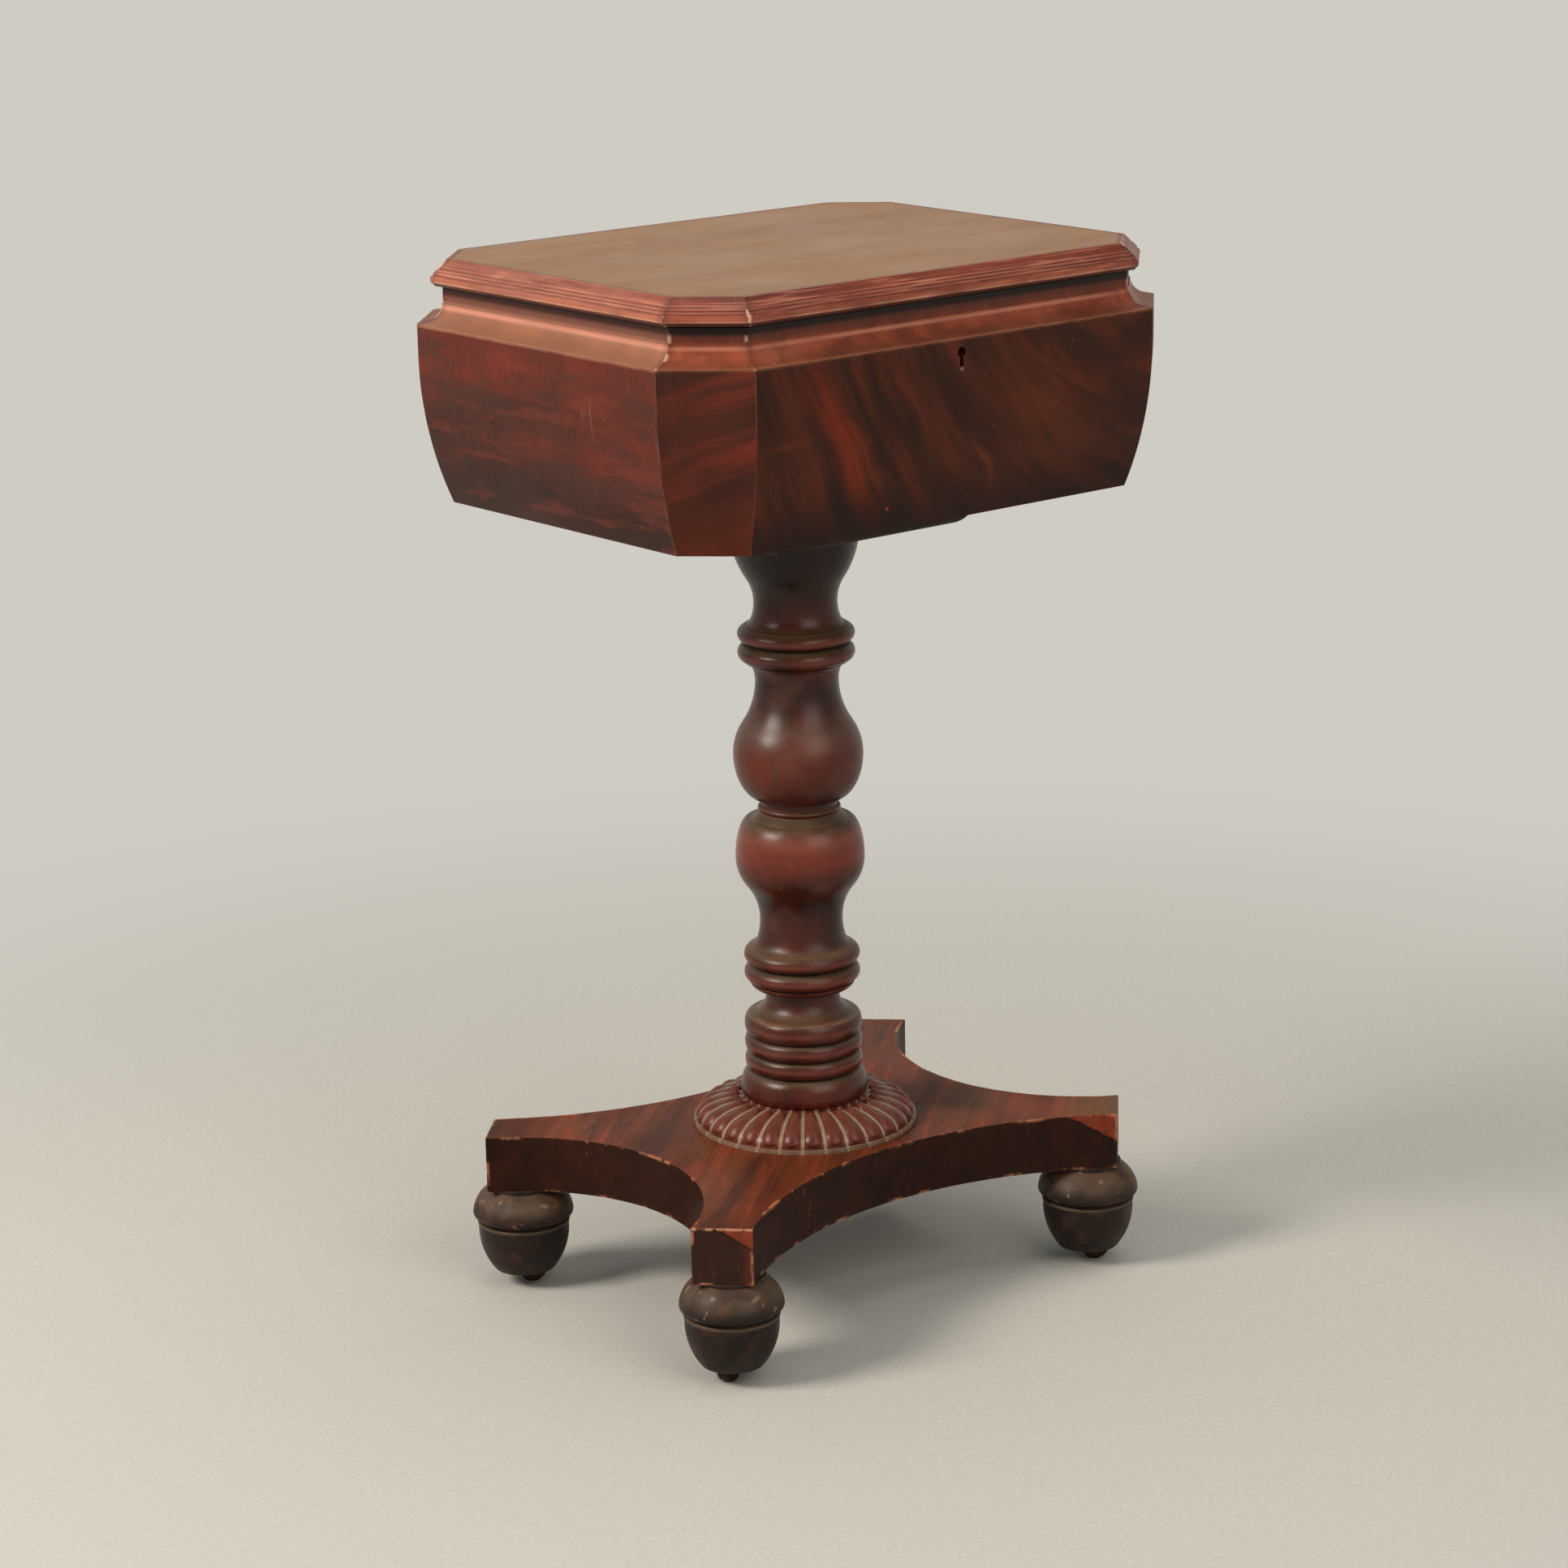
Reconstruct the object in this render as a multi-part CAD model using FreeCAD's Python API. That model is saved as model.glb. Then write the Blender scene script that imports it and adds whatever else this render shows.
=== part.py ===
import FreeCAD, Part

import math
import os

# A teapoy: a tea chest with canted corners and a hinged lid, on a turned column and a platform with four feet.
# The origin is on the floor under the column, +Z is up and the keyhole faces -Y. Lengths are in millimetres.

V = FreeCAD.Vector
UP = V(0, 0, 1)

# Plan of the lid's flat top. The box, the lid's moulding and the inside follow it at offsets
half_width = 199.0
half_depth = 157.0
cant_leg = 33.3

# Storeys, from the floor up
foot_lift = 12.0
foot_height = 64.5
platform_thickness = 41.0
collar_height = 20.0
column_length = 418.5
bearer_thickness = 26.0
wall_height = 124.0
neck_height = 24.7
lid_gap = 1.5
lid_thickness = 17.8

# Box walls and the cavetto neck that stands on them
inner_offset = -10.0
neck_wall = 13.5
cavetto_throw = 17.3
cavetto_height = 13.0
cavetto_lip = 0.8
arris_fillet = 1.0
wall_upright = 22.0
wall_inset = 19.2
floor_thickness = 10.0

# Lid: panel, planted edge moulding and lining
moulding_bed = 1.5
moulding_throw = 11.2
lining_margin = 3.0
lining_thickness = 2.2
lid_reed_shares = [(0.52, 0.34), (0.57, 0.37), (0.70, 0.46), (0.72, 0.475), (0.82, 0.575), (0.84, 0.59)]
lid_nose_share = 0.91
lid_soffit_share = 0.76

# Butt hinges of the lid
hinge_place = 105.0
hinge_length = 50.0
knuckle_radius = 3.4
knuckle_gap = 0.3
hinge_pin_radius = 1.5
leaf_thickness = 1.5
leaf_margin = 1.0
leaf_screw_place = 17.0
leaf_screw_inset = 4.0

# Box lock in the front wall, with its bolt, and the link plate in the lid
lock_half_width = 26.0
lock_height = 49.5
lock_depth = 10.4
lock_plate = 1.5
selvedge_overhang = 7.0
selvedge_thickness = 2.5
keyhole_drop = 33.5
keyhole_radius = 3.6
keyhole_slot_width = 3.4
keyhole_slot_drop = 9.6
key_pin_radius = 1.3
link_half_width = 26.0
link_thickness = 2.0
staple_place = 11.0
staple_thickness = 3.0
staple_width = 6.0
staple_drop = 16.5
staple_eye_height = 5.6
staple_eye_width = 3.2
staple_foot = 2.0
bolt_bar_height = 7.0
bolt_arm = 3.0
bolt_nose_length = 6.5
bolt_nose_height = 5.0
bolt_nose_width = 2.4
bolt_standoff = 0.8
bolt_reach = 15.0
keyway_half = 6.0
plate_screw_margin = 4.0

# Fittings inside the box: wells, two tea caddies and two mixing bowls
fitting_thickness = 6.0
fittings_height = 113.0
partition_place = 2.0
caddy_wall = 6.0
caddy_rebate = 3.0
caddy_floor = 5.0
caddy_lid_thickness = 5.8
caddy_pin_radius = 1.0
caddy_pin_length = 12.0
caddy_hinge_margin = 7.0
caddy_hinge_gap = 0.6
knob_radius = 6.5
knob_height = 13.0
knob_spigot_radius = 2.5
bowl_board_drop = 12.0
bowl_radius = 50.0
bowl_lip = 4.0
bowl_lip_thickness = 3.0
bowl_depth = 64.0
bowl_glass = 3.6
bowl_foot_radius = 22.0
bowl_foot_height = 4.0
ledge_size = 8.0

# Bearer block under the box
bearer_half = 88.0
bearer_ovolo = 13.0
bearer_screw_place = 62.0
bearer_screw_length = 31.0
bearer_screw_head = 4.5
bearer_screw_shank = 2.2

# Turned column: heights as shares of its length, from the collar up, and radii
column_level_shares = [
    ("swelling", 0.014), ("rings", 0.048), ("ring_2", 0.079), ("ring_3", 0.110), ("ring_top", 0.147),
    ("cove", 0.181), ("cove_top", 0.190), ("lower_pair", 0.204), ("lower_pair_groove", 0.236),
    ("lower_pair_top", 0.268), ("lower_neck", 0.315), ("bulb", 0.424), ("bulb_shoulder", 0.493),
    ("waist", 0.507), ("waist_bead", 0.516), ("waist_top", 0.528), ("belly", 0.606),
    ("middle_neck", 0.734), ("upper_pair", 0.766), ("upper_pair_groove", 0.799),
    ("upper_pair_top", 0.829), ("upper_neck", 0.869)
]
seat_radius = 42.7
swelling_radius = 45.7
ring_radius = 42.3
ring_root_radius = 38.4
cove_radius = 26.3
cove_lip_radius = 37.7
pair_radius = 41.6
pair_root_radius = 33.6
pair_shoulder_radius = 36.4
neck_radius = 29.6
bulb_radius = 46.1
bulb_step = 2.0
waist_radius = 27.4
waist_bead_radius = 29.6
belly_radius = 46.2
flare_radius = 46.0
bulb_ogee_share = 0.44
belly_ogee_share = 0.42
flare_ogee_share = 0.31
upper_tenon_radius = 19.0
lower_tenon_radius = 22.0

# Gadrooned collar: a domed ring with convex lobes that run from the column's seat to the rim
collar_radius = 80.5
collar_rim_width = 1.5
collar_rim_height = 3.0
collar_seat_margin = 0.8
lobe_count = 30
lobe_height = 1.7
lobe_root = 1.0
lobe_first_angle = 83.0
lobe_last_angle = 6.0
lobe_turn_angle = 7.1
lobe_shares = [(0.0, 0.62, 0.55), (0.16, 0.80, 0.92), (0.5, 0.84, 1.0),
               (0.8, 0.84, 1.0), (0.94, 0.66, 0.8), (1.0, 0.3, 0.3)]

# Platform with four hollow sides
platform_half_width = 199.4
platform_half_depth = 148.7
platform_cant_leg = 29.6
front_bay_depth = 58.0
side_bay_depth = 67.4

# Turned feet
foot_place_x = 167.0
foot_place_y = 120.8
foot_neck_radius = 24.0
foot_fillet = 2.5
saucer_radius = 36.4
saucer_height = 21.0
groove_radius = 30.4
groove_drop = 6.6
cup_radius = 32.6
cup_bead = 2.4
cup_groove = 3.0
cup_sole_radius = 22.0
cup_swell_share = 0.42
cup_swell_radius = 30.0
dowel_radius = 10.0
dowel_length = 25.0
castor_well_radius = 19.0
castor_well_depth = 19.0

# Concealed castors, and the way each one points at rest
castor_angles = {"front_left": 200.0, "front_right": 325.0, "back_left": 335.0, "back_right": 35.0}
castor_plate_radius = 18.7
castor_plate_thickness = 2.0
castor_screw_place = 13.5
castor_stem_radius = 3.0
castor_stem_length = 18.0
castor_crown_radius = 8.0
castor_crown_thickness = 2.0
castor_trail = 5.0
cheek_thickness = 2.0
cheek_boss_radius = 3.4
wheel_radius = 10.0
wheel_width = 9.0
wheel_round = 1.5
axle_radius = 1.8
axle_head = 0.6

# Wood screws of the fittings
screw_head_radius = 2.4
screw_head_depth = 1.4
screw_shank_radius = 1.2
screw_length = 11.0
castor_screw_length = 9.0

# Clearances: glued sockets, running fits, loose pieces and the air between pieces that pass each other
glue_line = 0.15
running_fit = 0.05
seat_gap = 0.3
inlet_gap = 0.1
well_gap = 0.5
overrun = 5.0

# Levels and offsets that follow from the sizes above
platform_bottom = foot_lift + foot_height
platform_top = platform_bottom + platform_thickness
collar_top = platform_top + collar_height
column_top = collar_top + column_length
box_bottom = column_top + bearer_thickness
floor_top = box_bottom + floor_thickness
arris_level = box_bottom + wall_height
neck_top = arris_level + neck_height
lid_bottom = neck_top + lid_gap
lid_top = lid_bottom + lid_thickness
neck_offset = inner_offset + neck_wall
arris_offset = neck_offset + cavetto_throw
sole_offset = arris_offset - wall_inset
fittings_top = floor_top + fittings_height
pin_y = half_depth + neck_offset + knuckle_gap + knuckle_radius
pin_z = neck_top + lid_gap / 2
leaf_y = half_depth + inner_offset + leaf_margin
lock_y = -(half_depth + inner_offset)

SIDES = ["front", "front_right", "right", "back_right", "back", "back_left", "left", "front_left"]
CORNERS = {"front_left": (-1, -1), "front_right": (1, -1), "back_left": (-1, 1), "back_right": (1, 1)}


class Outline:
    """A closed outline drawn edge by edge in the plane of x and z."""

    def __init__(self, x, z):
        self.first = V(x, 0, z)
        self.at = self.first
        self.edges = []

    def line(self, x, z):
        end = V(x, 0, z)
        self.edges.append(Part.makeLine(self.at, end))
        self.at = end
        return self

    def arc(self, middle_x, middle_z, x, z):
        end = V(x, 0, z)
        self.edges.append(Part.Arc(self.at, V(middle_x, 0, middle_z), end).toShape())
        self.at = end
        return self

    def quarter(self, x, z, upright):
        """A quarter of an ellipse that leaves upright, or else level."""
        end = V(x, 0, z)
        corner = V(self.at.x, 0, z) if upright else V(x, 0, self.at.z)
        curve = Part.BezierCurve()
        curve.setPoles([self.at, corner, end])
        curve.setWeight(2, math.sqrt(0.5))
        self.edges.append(curve.toShape())
        self.at = end
        return self

    def bead(self, reach, x, z):
        """A half round that swells out to reach on its way up to x, z."""
        middle = (self.at.z + z) / 2
        return self.quarter(reach, middle, False).quarter(x, z, True)

    def ogee(self, x, z, share):
        """An S of two arcs with both ends upright, which change over at a share of the way."""
        start = self.at
        span = V(x, 0, z) - start
        turn = math.atan2(abs(span.x), abs(span.z))
        rise = math.copysign(1, span.z)
        curl = span.Length ** 2 / (2 * span.x)

        def bow(part):
            radius = part * curl
            return V(radius * (1 - math.cos(turn)), 0, rise * abs(radius) * math.sin(turn))

        change = start + span * share
        first = start + bow(share)
        second = start + span - bow(1 - share)
        self.arc(first.x, first.z, change.x, change.z)
        return self.arc(second.x, second.z, x, z)

    def face(self):
        self.line(self.first.x, self.first.z)
        return Part.Face(Part.Wire(self.edges))

    def turned(self):
        """The solid that the outline sweeps as it turns about the z axis."""
        return self.face().revolve(V(0, 0, 0), UP, 360)


def polygon(points, level):
    ring = [V(x, y, level) for x, y in points]
    return Part.Face(Part.makePolygon(ring + ring[:1]))


def prism(points, bottom, top):
    return polygon(points, bottom).extrude(UP * (top - bottom))


def block(x0, x1, y0, y1, z0, z1):
    return Part.makeBox(x1 - x0, y1 - y0, z1 - z0, V(x0, y0, z0))


def rod(radius, start, end):
    along = end - start
    return Part.makeCylinder(radius, along.Length, start, along)


def moved(shape, x, y, z=0):
    copy = shape.copy()
    copy.translate(V(x, y, z))
    return copy


def turned_about_z(shape, degrees):
    copy = shape.copy()
    copy.rotate(V(0, 0, 0), UP, degrees)
    return copy


def mirrored(shape):
    return shape.mirror(V(0, 0, 0), V(1, 0, 0))


def cut_all(shape, tools):
    return shape.cut(tools) if tools else shape


def screw_form(head, depth, shank, length, gap=0.0):
    """A countersunk screw, or with a gap its hole, with its head at the origin and its point down."""
    form = Outline(0, 0).line(head + gap, 0).line(shank + gap, -depth)
    return form.line(shank + gap, -length).line(0, -length - shank - gap).turned()


def fitting_screw(gap=0.0, length=screw_length):
    return screw_form(screw_head_radius, screw_head_depth, screw_shank_radius, length, gap)


def upside_down(shape):
    copy = shape.copy()
    copy.rotate(V(0, 0, 0), V(1, 0, 0), 180)
    return copy


# Plan of the canted box

def canted(offset):
    """The eight corners of the lid's plan at an offset, from the front's left end round by the right."""
    a = half_width + offset
    b = half_depth + offset
    leg = cant_leg + offset * (2 - math.sqrt(2))
    return [(leg - a, -b), (a - leg, -b), (a, leg - b), (a, b - leg),
            (a - leg, b), (leg - a, b), (-a, b - leg), (-a, leg - b)]


def mitred(section, side, inner, outer):
    """One length of a section that runs round the box, mitred: offsets along x, levels along z."""
    here = SIDES.index(side)
    after = (here + 1) % len(SIDES)
    near = canted(inner - overrun)
    far = canted(outer + overrun)
    plan = canted(0)
    start = V(*plan[here], 0)
    along = V(*plan[after], 0) - start
    length = along.Length
    along.normalize()
    face = section.face()
    levels = face.BoundBox
    past = outer + overrun
    bar = moved(face.extrude(V(0, length + 2 * past, 0)), 0, -past)
    turn = FreeCAD.Rotation(along.cross(UP), along, UP, "ZXY")
    bar.Placement = FreeCAD.Placement(start, turn).multiply(bar.Placement)
    mitre = [near[here], far[here], far[after], near[after]]
    return bar.common(prism(mitre, levels.ZMin - overrun, levels.ZMax + overrun))


# Lid

def lid_moulding_section():
    throw, drop = moulding_throw, lid_thickness
    outline = Outline(-moulding_bed, lid_bottom).line(-moulding_bed, lid_top).line(0, lid_top)
    bevel, *reeds = [(throw * x, lid_top - drop * z) for x, z in lid_reed_shares]
    reed_1, reed_2, nose_top = reeds[:2], reeds[2:-1], reeds[-1]
    outline.line(*bevel).line(*reed_1[0])
    outline.quarter(*reed_1[1], False).line(*reed_2[0]).quarter(*reed_2[1], False).line(*nose_top)
    nose_z = lid_top - drop * lid_nose_share
    outline.quarter(throw, (nose_top[1] + nose_z) / 2, False).quarter(nose_top[0], nose_z, True)
    return outline.line(throw * lid_soffit_share, lid_bottom)


def lid_cutters():
    """What is let into the underside of the lid: hinge leaves, knuckles, link plate and their screws."""
    half = hinge_length / 2
    cutters = [link_recess(inlet_gap)]
    for x in (-hinge_place, hinge_place):
        cutters.append(block(x - half - inlet_gap, x + half + inlet_gap, leaf_y - inlet_gap, pin_y,
                             lid_bottom - overrun, lid_bottom + leaf_thickness))
        reach = knuckle_radius + knuckle_gap
        cutters.append(block(x - half - knuckle_gap, x + half + knuckle_gap, pin_y - reach,
                             pin_y + reach + overrun, lid_bottom - overrun, pin_z + reach))
    hole = upside_down(fitting_screw(inlet_gap))
    cutters += [moved(hole, x, y, z) for x, y, z in lid_screw_places()]
    return cutters


def lid_panel():
    return cut_all(prism(canted(-moulding_bed), lid_bottom, lid_top), lid_cutters())


def lid_moulding(side):
    length = mitred(lid_moulding_section(), side, -moulding_bed, moulding_throw)
    return cut_all(length, lid_cutters()) if side in ("front", "back") else length


def lid_lining():
    return prism(canted(inner_offset - lining_margin), lid_bottom - lining_thickness, lid_bottom)


def hinge_screw_places(level):
    y = leaf_y + leaf_screw_inset
    return [(side * hinge_place + end * leaf_screw_place, y, level) for side in (-1, 1) for end in (-1, 1)]


def lid_screw_places():
    place = link_half_width - plate_screw_margin
    y = lock_y - lock_depth / 2
    return hinge_screw_places(lid_bottom) + [(side * place, y, lid_bottom) for side in (-1, 1)]


def lid_screws():
    form = upside_down(fitting_screw())
    return [moved(form, x, y, z) for x, y, z in lid_screw_places()]


# Hinges

def knuckle(x0, x1):
    barrel = rod(knuckle_radius, V(x0, pin_y, pin_z), V(x1, pin_y, pin_z))
    return barrel


def pin_bore(x0, x1):
    return rod(hinge_pin_radius + running_fit, V(x0 - overrun, pin_y, pin_z), V(x1 + overrun, pin_y, pin_z))


def hinge_leaf(x, on_lid):
    """One leaf: the lid's has the middle knuckle, the box's the two outer ones."""
    half = hinge_length / 2
    third = hinge_length / 6
    bottom = lid_bottom if on_lid else neck_top - leaf_thickness
    leaf = block(x - half, x + half, leaf_y, pin_y, bottom, bottom + leaf_thickness)
    room = knuckle_radius + knuckle_gap
    middle = (x - third, x + third)
    outer = [(x - half, x - third - knuckle_gap), (x + third + knuckle_gap, x + half)]
    own = [middle] if on_lid else outer
    gaps = [(x - half - overrun, x - third), (x + third, x + half + overrun)] if on_lid else [
        (x - third - knuckle_gap, x + third + knuckle_gap)]
    for x0, x1 in gaps:
        leaf = leaf.cut(rod(room, V(x0, pin_y, pin_z), V(x1, pin_y, pin_z)))
    for x0, x1 in own:
        leaf = leaf.fuse(knuckle(x0, x1))
    leaf = leaf.cut(pin_bore(x - half, x + half))
    hole = upside_down(fitting_screw(inlet_gap)) if on_lid else fitting_screw(inlet_gap)
    level = lid_bottom if on_lid else neck_top
    return cut_all(leaf, [moved(hole, *place) for place in hinge_screw_places(level)]).removeSplitter()


def hinge_leaves(on_lid):
    return [hinge_leaf(x, on_lid) for x in (-hinge_place, hinge_place)]


def hinge_pins():
    half = hinge_length / 2
    return [rod(hinge_pin_radius, V(x - half, pin_y, pin_z), V(x + half, pin_y, pin_z))
            for x in (-hinge_place, hinge_place)]


# Lock and link plate

lock_back = lock_y - lock_depth
cavity_front = lock_y - lock_plate
cavity_back = lock_back + lock_plate
cavity_half = lock_half_width - lock_plate
lock_middle = (cavity_front + cavity_back) / 2
staple_bottom = lid_bottom - staple_drop
eye_level = staple_bottom + staple_foot + staple_eye_height / 2
bar_top = staple_bottom - bolt_standoff
keyhole_level = neck_top - keyhole_drop


def link_recess(gap=0.0):
    return block(-link_half_width - gap, link_half_width + gap, lock_back - gap, lock_y + gap,
                 lid_bottom, lid_bottom + link_thickness)


def link_plate():
    plate = link_recess()
    half = staple_thickness / 2
    wide, eye_wide, eye_high = staple_width / 2, staple_eye_width / 2, staple_eye_height / 2
    for x in (-staple_place, staple_place):
        staple = block(x - half, x + half, lock_middle - wide, lock_middle + wide, staple_bottom, lid_bottom)
        eye = block(x - half, x + half, lock_middle - eye_wide, lock_middle + eye_wide,
                    eye_level - eye_high, eye_level + eye_high)
        plate = plate.fuse(staple.cut(eye))
    hole = upside_down(fitting_screw(inlet_gap))
    return cut_all(plate, [moved(hole, *place) for place in lid_screw_places()]).removeSplitter()


def keyhole(y0, y1):
    """A round hole with a slot below it, through everything from y0 to y1."""
    round_hole = rod(keyhole_radius, V(0, y0, keyhole_level), V(0, y1, keyhole_level))
    half = keyhole_slot_width / 2
    slot = block(-half, half, y0, y1, keyhole_level - keyhole_slot_drop, keyhole_level)
    return round_hole.fuse(slot)


def lock_envelope(gap=0.0):
    case = block(-lock_half_width - gap, lock_half_width + gap, lock_back - gap, lock_y + gap,
                 neck_top - lock_height - gap, neck_top)
    wide = lock_half_width + selvedge_overhang + gap
    selvedge = block(-wide, wide, lock_back - gap, lock_y + gap, neck_top - selvedge_thickness, neck_top)
    return case.fuse(selvedge)


def lock_screw_places():
    x = lock_half_width + selvedge_overhang - plate_screw_margin
    return [(side * x, lock_middle, neck_top) for side in (-1, 1)]


def lock_case():
    """Selvedge, back plate and cap as one casting, hollow for the bolt, with a guide under the bolt's bar."""
    bottom = neck_top - lock_height
    case = lock_envelope()
    cavity = block(-cavity_half, cavity_half, cavity_back, cavity_front,
                   bottom + lock_plate, neck_top - selvedge_thickness)
    guide_top = bar_top - bolt_bar_height - seat_gap
    for x0, x1 in ((-cavity_half, -keyway_half), (keyway_half, cavity_half)):
        cavity = cavity.cut(block(x0, x1, cavity_back, cavity_front, guide_top - lock_plate, guide_top))
    case = case.cut(cavity)
    half = staple_thickness / 2 + bolt_standoff
    wide = staple_width / 2 + 2 * seat_gap
    for x in (-staple_place, staple_place):
        case = case.cut(block(x - half, x + half, lock_middle - wide, lock_middle + wide,
                              neck_top - selvedge_thickness - overrun, neck_top + overrun))
    case = case.cut(keyhole(lock_back - overrun, cavity_back + lock_plate / 2))
    case = case.fuse(rod(key_pin_radius, V(0, cavity_front, keyhole_level), V(0, lock_back, keyhole_level)))
    hole = fitting_screw(inlet_gap)
    return cut_all(case, [moved(hole, *place) for place in lock_screw_places()]).removeSplitter()


def lock_bolt():
    """A bar with two arms, each with a nose that slides through the eye of a staple."""
    y0 = cavity_back + seat_gap
    y1 = cavity_front - seat_gap
    tips = [x - staple_thickness / 2 - bolt_standoff for x in (-staple_place, staple_place)]
    left = tips[0] - bolt_nose_length - bolt_arm
    bolt = block(left, bolt_reach, y0, y1, bar_top - bolt_bar_height, bar_top)
    nose_top = eye_level + bolt_nose_height / 2
    wide = bolt_nose_width / 2
    for tip in tips:
        root = tip - bolt_nose_length
        bolt = bolt.fuse(block(root - bolt_arm, root, y0, y1, bar_top, nose_top))
        bolt = bolt.fuse(block(root, tip, lock_middle - wide, lock_middle + wide,
                               nose_top - bolt_nose_height, nose_top))
    talon_top = bar_top - bolt_bar_height / 2
    talon = block(-bolt_arm / 2, bolt_arm / 2, y0, y1, bar_top - bolt_bar_height, talon_top)
    return bolt.cut(talon).removeSplitter()


# Box

def wall_section():
    upright = arris_level - wall_upright
    drop = upright - box_bottom
    radius = (drop ** 2 + wall_inset ** 2) / (2 * wall_inset)
    half_turn = math.asin(drop / radius) / 2
    middle_x = arris_offset - radius * (1 - math.cos(half_turn))
    middle_z = upright - radius * math.sin(half_turn)
    outline = Outline(inner_offset, box_bottom).line(sole_offset, box_bottom)
    outline.arc(middle_x, middle_z, arris_offset, upright)
    return outline.line(arris_offset, arris_level).line(inner_offset, arris_level)


def neck_section():
    outline = Outline(inner_offset, arris_level).line(arris_offset, arris_level)
    outline.line(arris_offset, arris_level + arris_fillet)
    lip_level = arris_level + arris_fillet + cavetto_height
    outline.quarter(neck_offset + cavetto_lip, lip_level, False).line(neck_offset, lip_level)
    return outline.line(neck_offset, neck_top).line(inner_offset, neck_top)


def wall(side):
    length = mitred(wall_section(), side, inner_offset, arris_offset)
    if side != "front":
        return length
    length = length.cut(lock_envelope(inlet_gap))
    return length.cut(keyhole(-half_depth - arris_offset - overrun, lock_back))


def neck_moulding(side):
    length = mitred(neck_section(), side, inner_offset, arris_offset)
    hole = fitting_screw(inlet_gap)
    if side == "front":
        holes = [moved(hole, *place) for place in lock_screw_places()]
        return cut_all(length, [lock_envelope(inlet_gap)] + holes)
    if side == "back":
        half = hinge_length / 2 + inlet_gap
        gains = [block(x - half, x + half, leaf_y - inlet_gap, pin_y,
                       neck_top - leaf_thickness, neck_top + overrun) for x in (-hinge_place, hinge_place)]
        return cut_all(length, gains + [moved(hole, *place) for place in hinge_screw_places(neck_top)])
    return length


def box_screws():
    form = fitting_screw()
    return [moved(form, *place) for place in hinge_screw_places(neck_top) + lock_screw_places()]


def bearer_screw_places():
    return [(x, y) for x in (-bearer_screw_place, bearer_screw_place)
            for y in (-bearer_screw_place, bearer_screw_place)]


def bearer_screw_form(gap=0.0):
    form = screw_form(bearer_screw_head, bearer_screw_head - bearer_screw_shank,
                      bearer_screw_shank, bearer_screw_length, gap)
    return upside_down(form)


def bottom_board():
    board = prism(canted(inner_offset), box_bottom, floor_top)
    hole = bearer_screw_form(inlet_gap)
    return cut_all(board, [moved(hole, x, y, column_top) for x, y in bearer_screw_places()])


# Fittings inside the box

well_x = fitting_thickness / 2 + well_gap
well_y = partition_place + fitting_thickness + well_gap
caddy_pin_z = fittings_top - caddy_lid_thickness / 2
bowl_board_top = fittings_top - bowl_board_drop + fitting_thickness


def cross_partition():
    half = half_width + inner_offset
    return block(-half, half, partition_place, partition_place + fitting_thickness, floor_top, fittings_top)


def caddy_divider():
    half = fitting_thickness / 2
    back = half_depth + inner_offset
    return block(-half, half, partition_place + fitting_thickness, back, floor_top, fittings_top)


def caddy_plan(inset):
    """The right-hand caddy's plan, which follows the canted corner of the box."""
    corners = canted(inner_offset - well_gap - inset)
    x = well_x + inset
    y = well_y + inset
    return [(x, y), (corners[3][0], y), corners[3], corners[4], (x, corners[4][1])]


def caddy_lid_ends():
    """Left, right, front and hinge line of the right-hand lid, which opens in front of the canted corner."""
    plan = caddy_plan(caddy_rebate + seat_gap)
    return plan[0][0], plan[1][0], plan[0][1], plan[2][1] - caddy_hinge_margin


def caddy_rods(radius, past):
    """A rod at each end of the lid's axis, across the joint between lid and case."""
    left, right, _, pin_place = caddy_lid_ends()
    lower = left - caddy_rebate + running_fit - past
    upper = right + caddy_rebate - running_fit + past
    reach = caddy_pin_length + 2 * past
    return [rod(radius, V(x0, pin_place, caddy_pin_z), V(x0 + reach, pin_place, caddy_pin_z))
            for x0 in (lower, upper - reach)]


def caddy_pins():
    return caddy_rods(caddy_pin_radius, 0)


def caddy_pin_holes():
    return caddy_rods(caddy_pin_radius + running_fit, running_fit)


def caddy_case():
    """An open case whose top is let in for the lid, with a fixed strip behind the hinge."""
    left, right, front, pin_place = caddy_lid_ends()
    strip_edge = pin_place + caddy_lid_thickness / 2 + caddy_hinge_gap
    rebate_level = fittings_top - caddy_lid_thickness - seat_gap
    case = prism(caddy_plan(0), floor_top, fittings_top)
    case = case.cut(prism(caddy_plan(caddy_wall), floor_top + caddy_floor, rebate_level))
    case = case.cut(block(left - seat_gap, right + seat_gap, front - seat_gap, strip_edge,
                          rebate_level, fittings_top + overrun))
    return cut_all(case, caddy_pin_holes())


def caddy_lid():
    left, right, front, pin_place = caddy_lid_ends()
    bottom = fittings_top - caddy_lid_thickness
    lid = block(left, right, front, pin_place, bottom, fittings_top)
    back = rod(caddy_lid_thickness / 2, V(left, pin_place, caddy_pin_z), V(right, pin_place, caddy_pin_z))
    x, y = knob_place()
    socket = rod(knob_spigot_radius + glue_line, V(x, y, bottom - overrun), V(x, y, fittings_top + overrun))
    return cut_all(lid.fuse(back), caddy_pin_holes() + [socket]).removeSplitter()


def knob_place():
    left, right, front, pin_place = caddy_lid_ends()
    return (left + right) / 2, (front + pin_place) / 2


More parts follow.
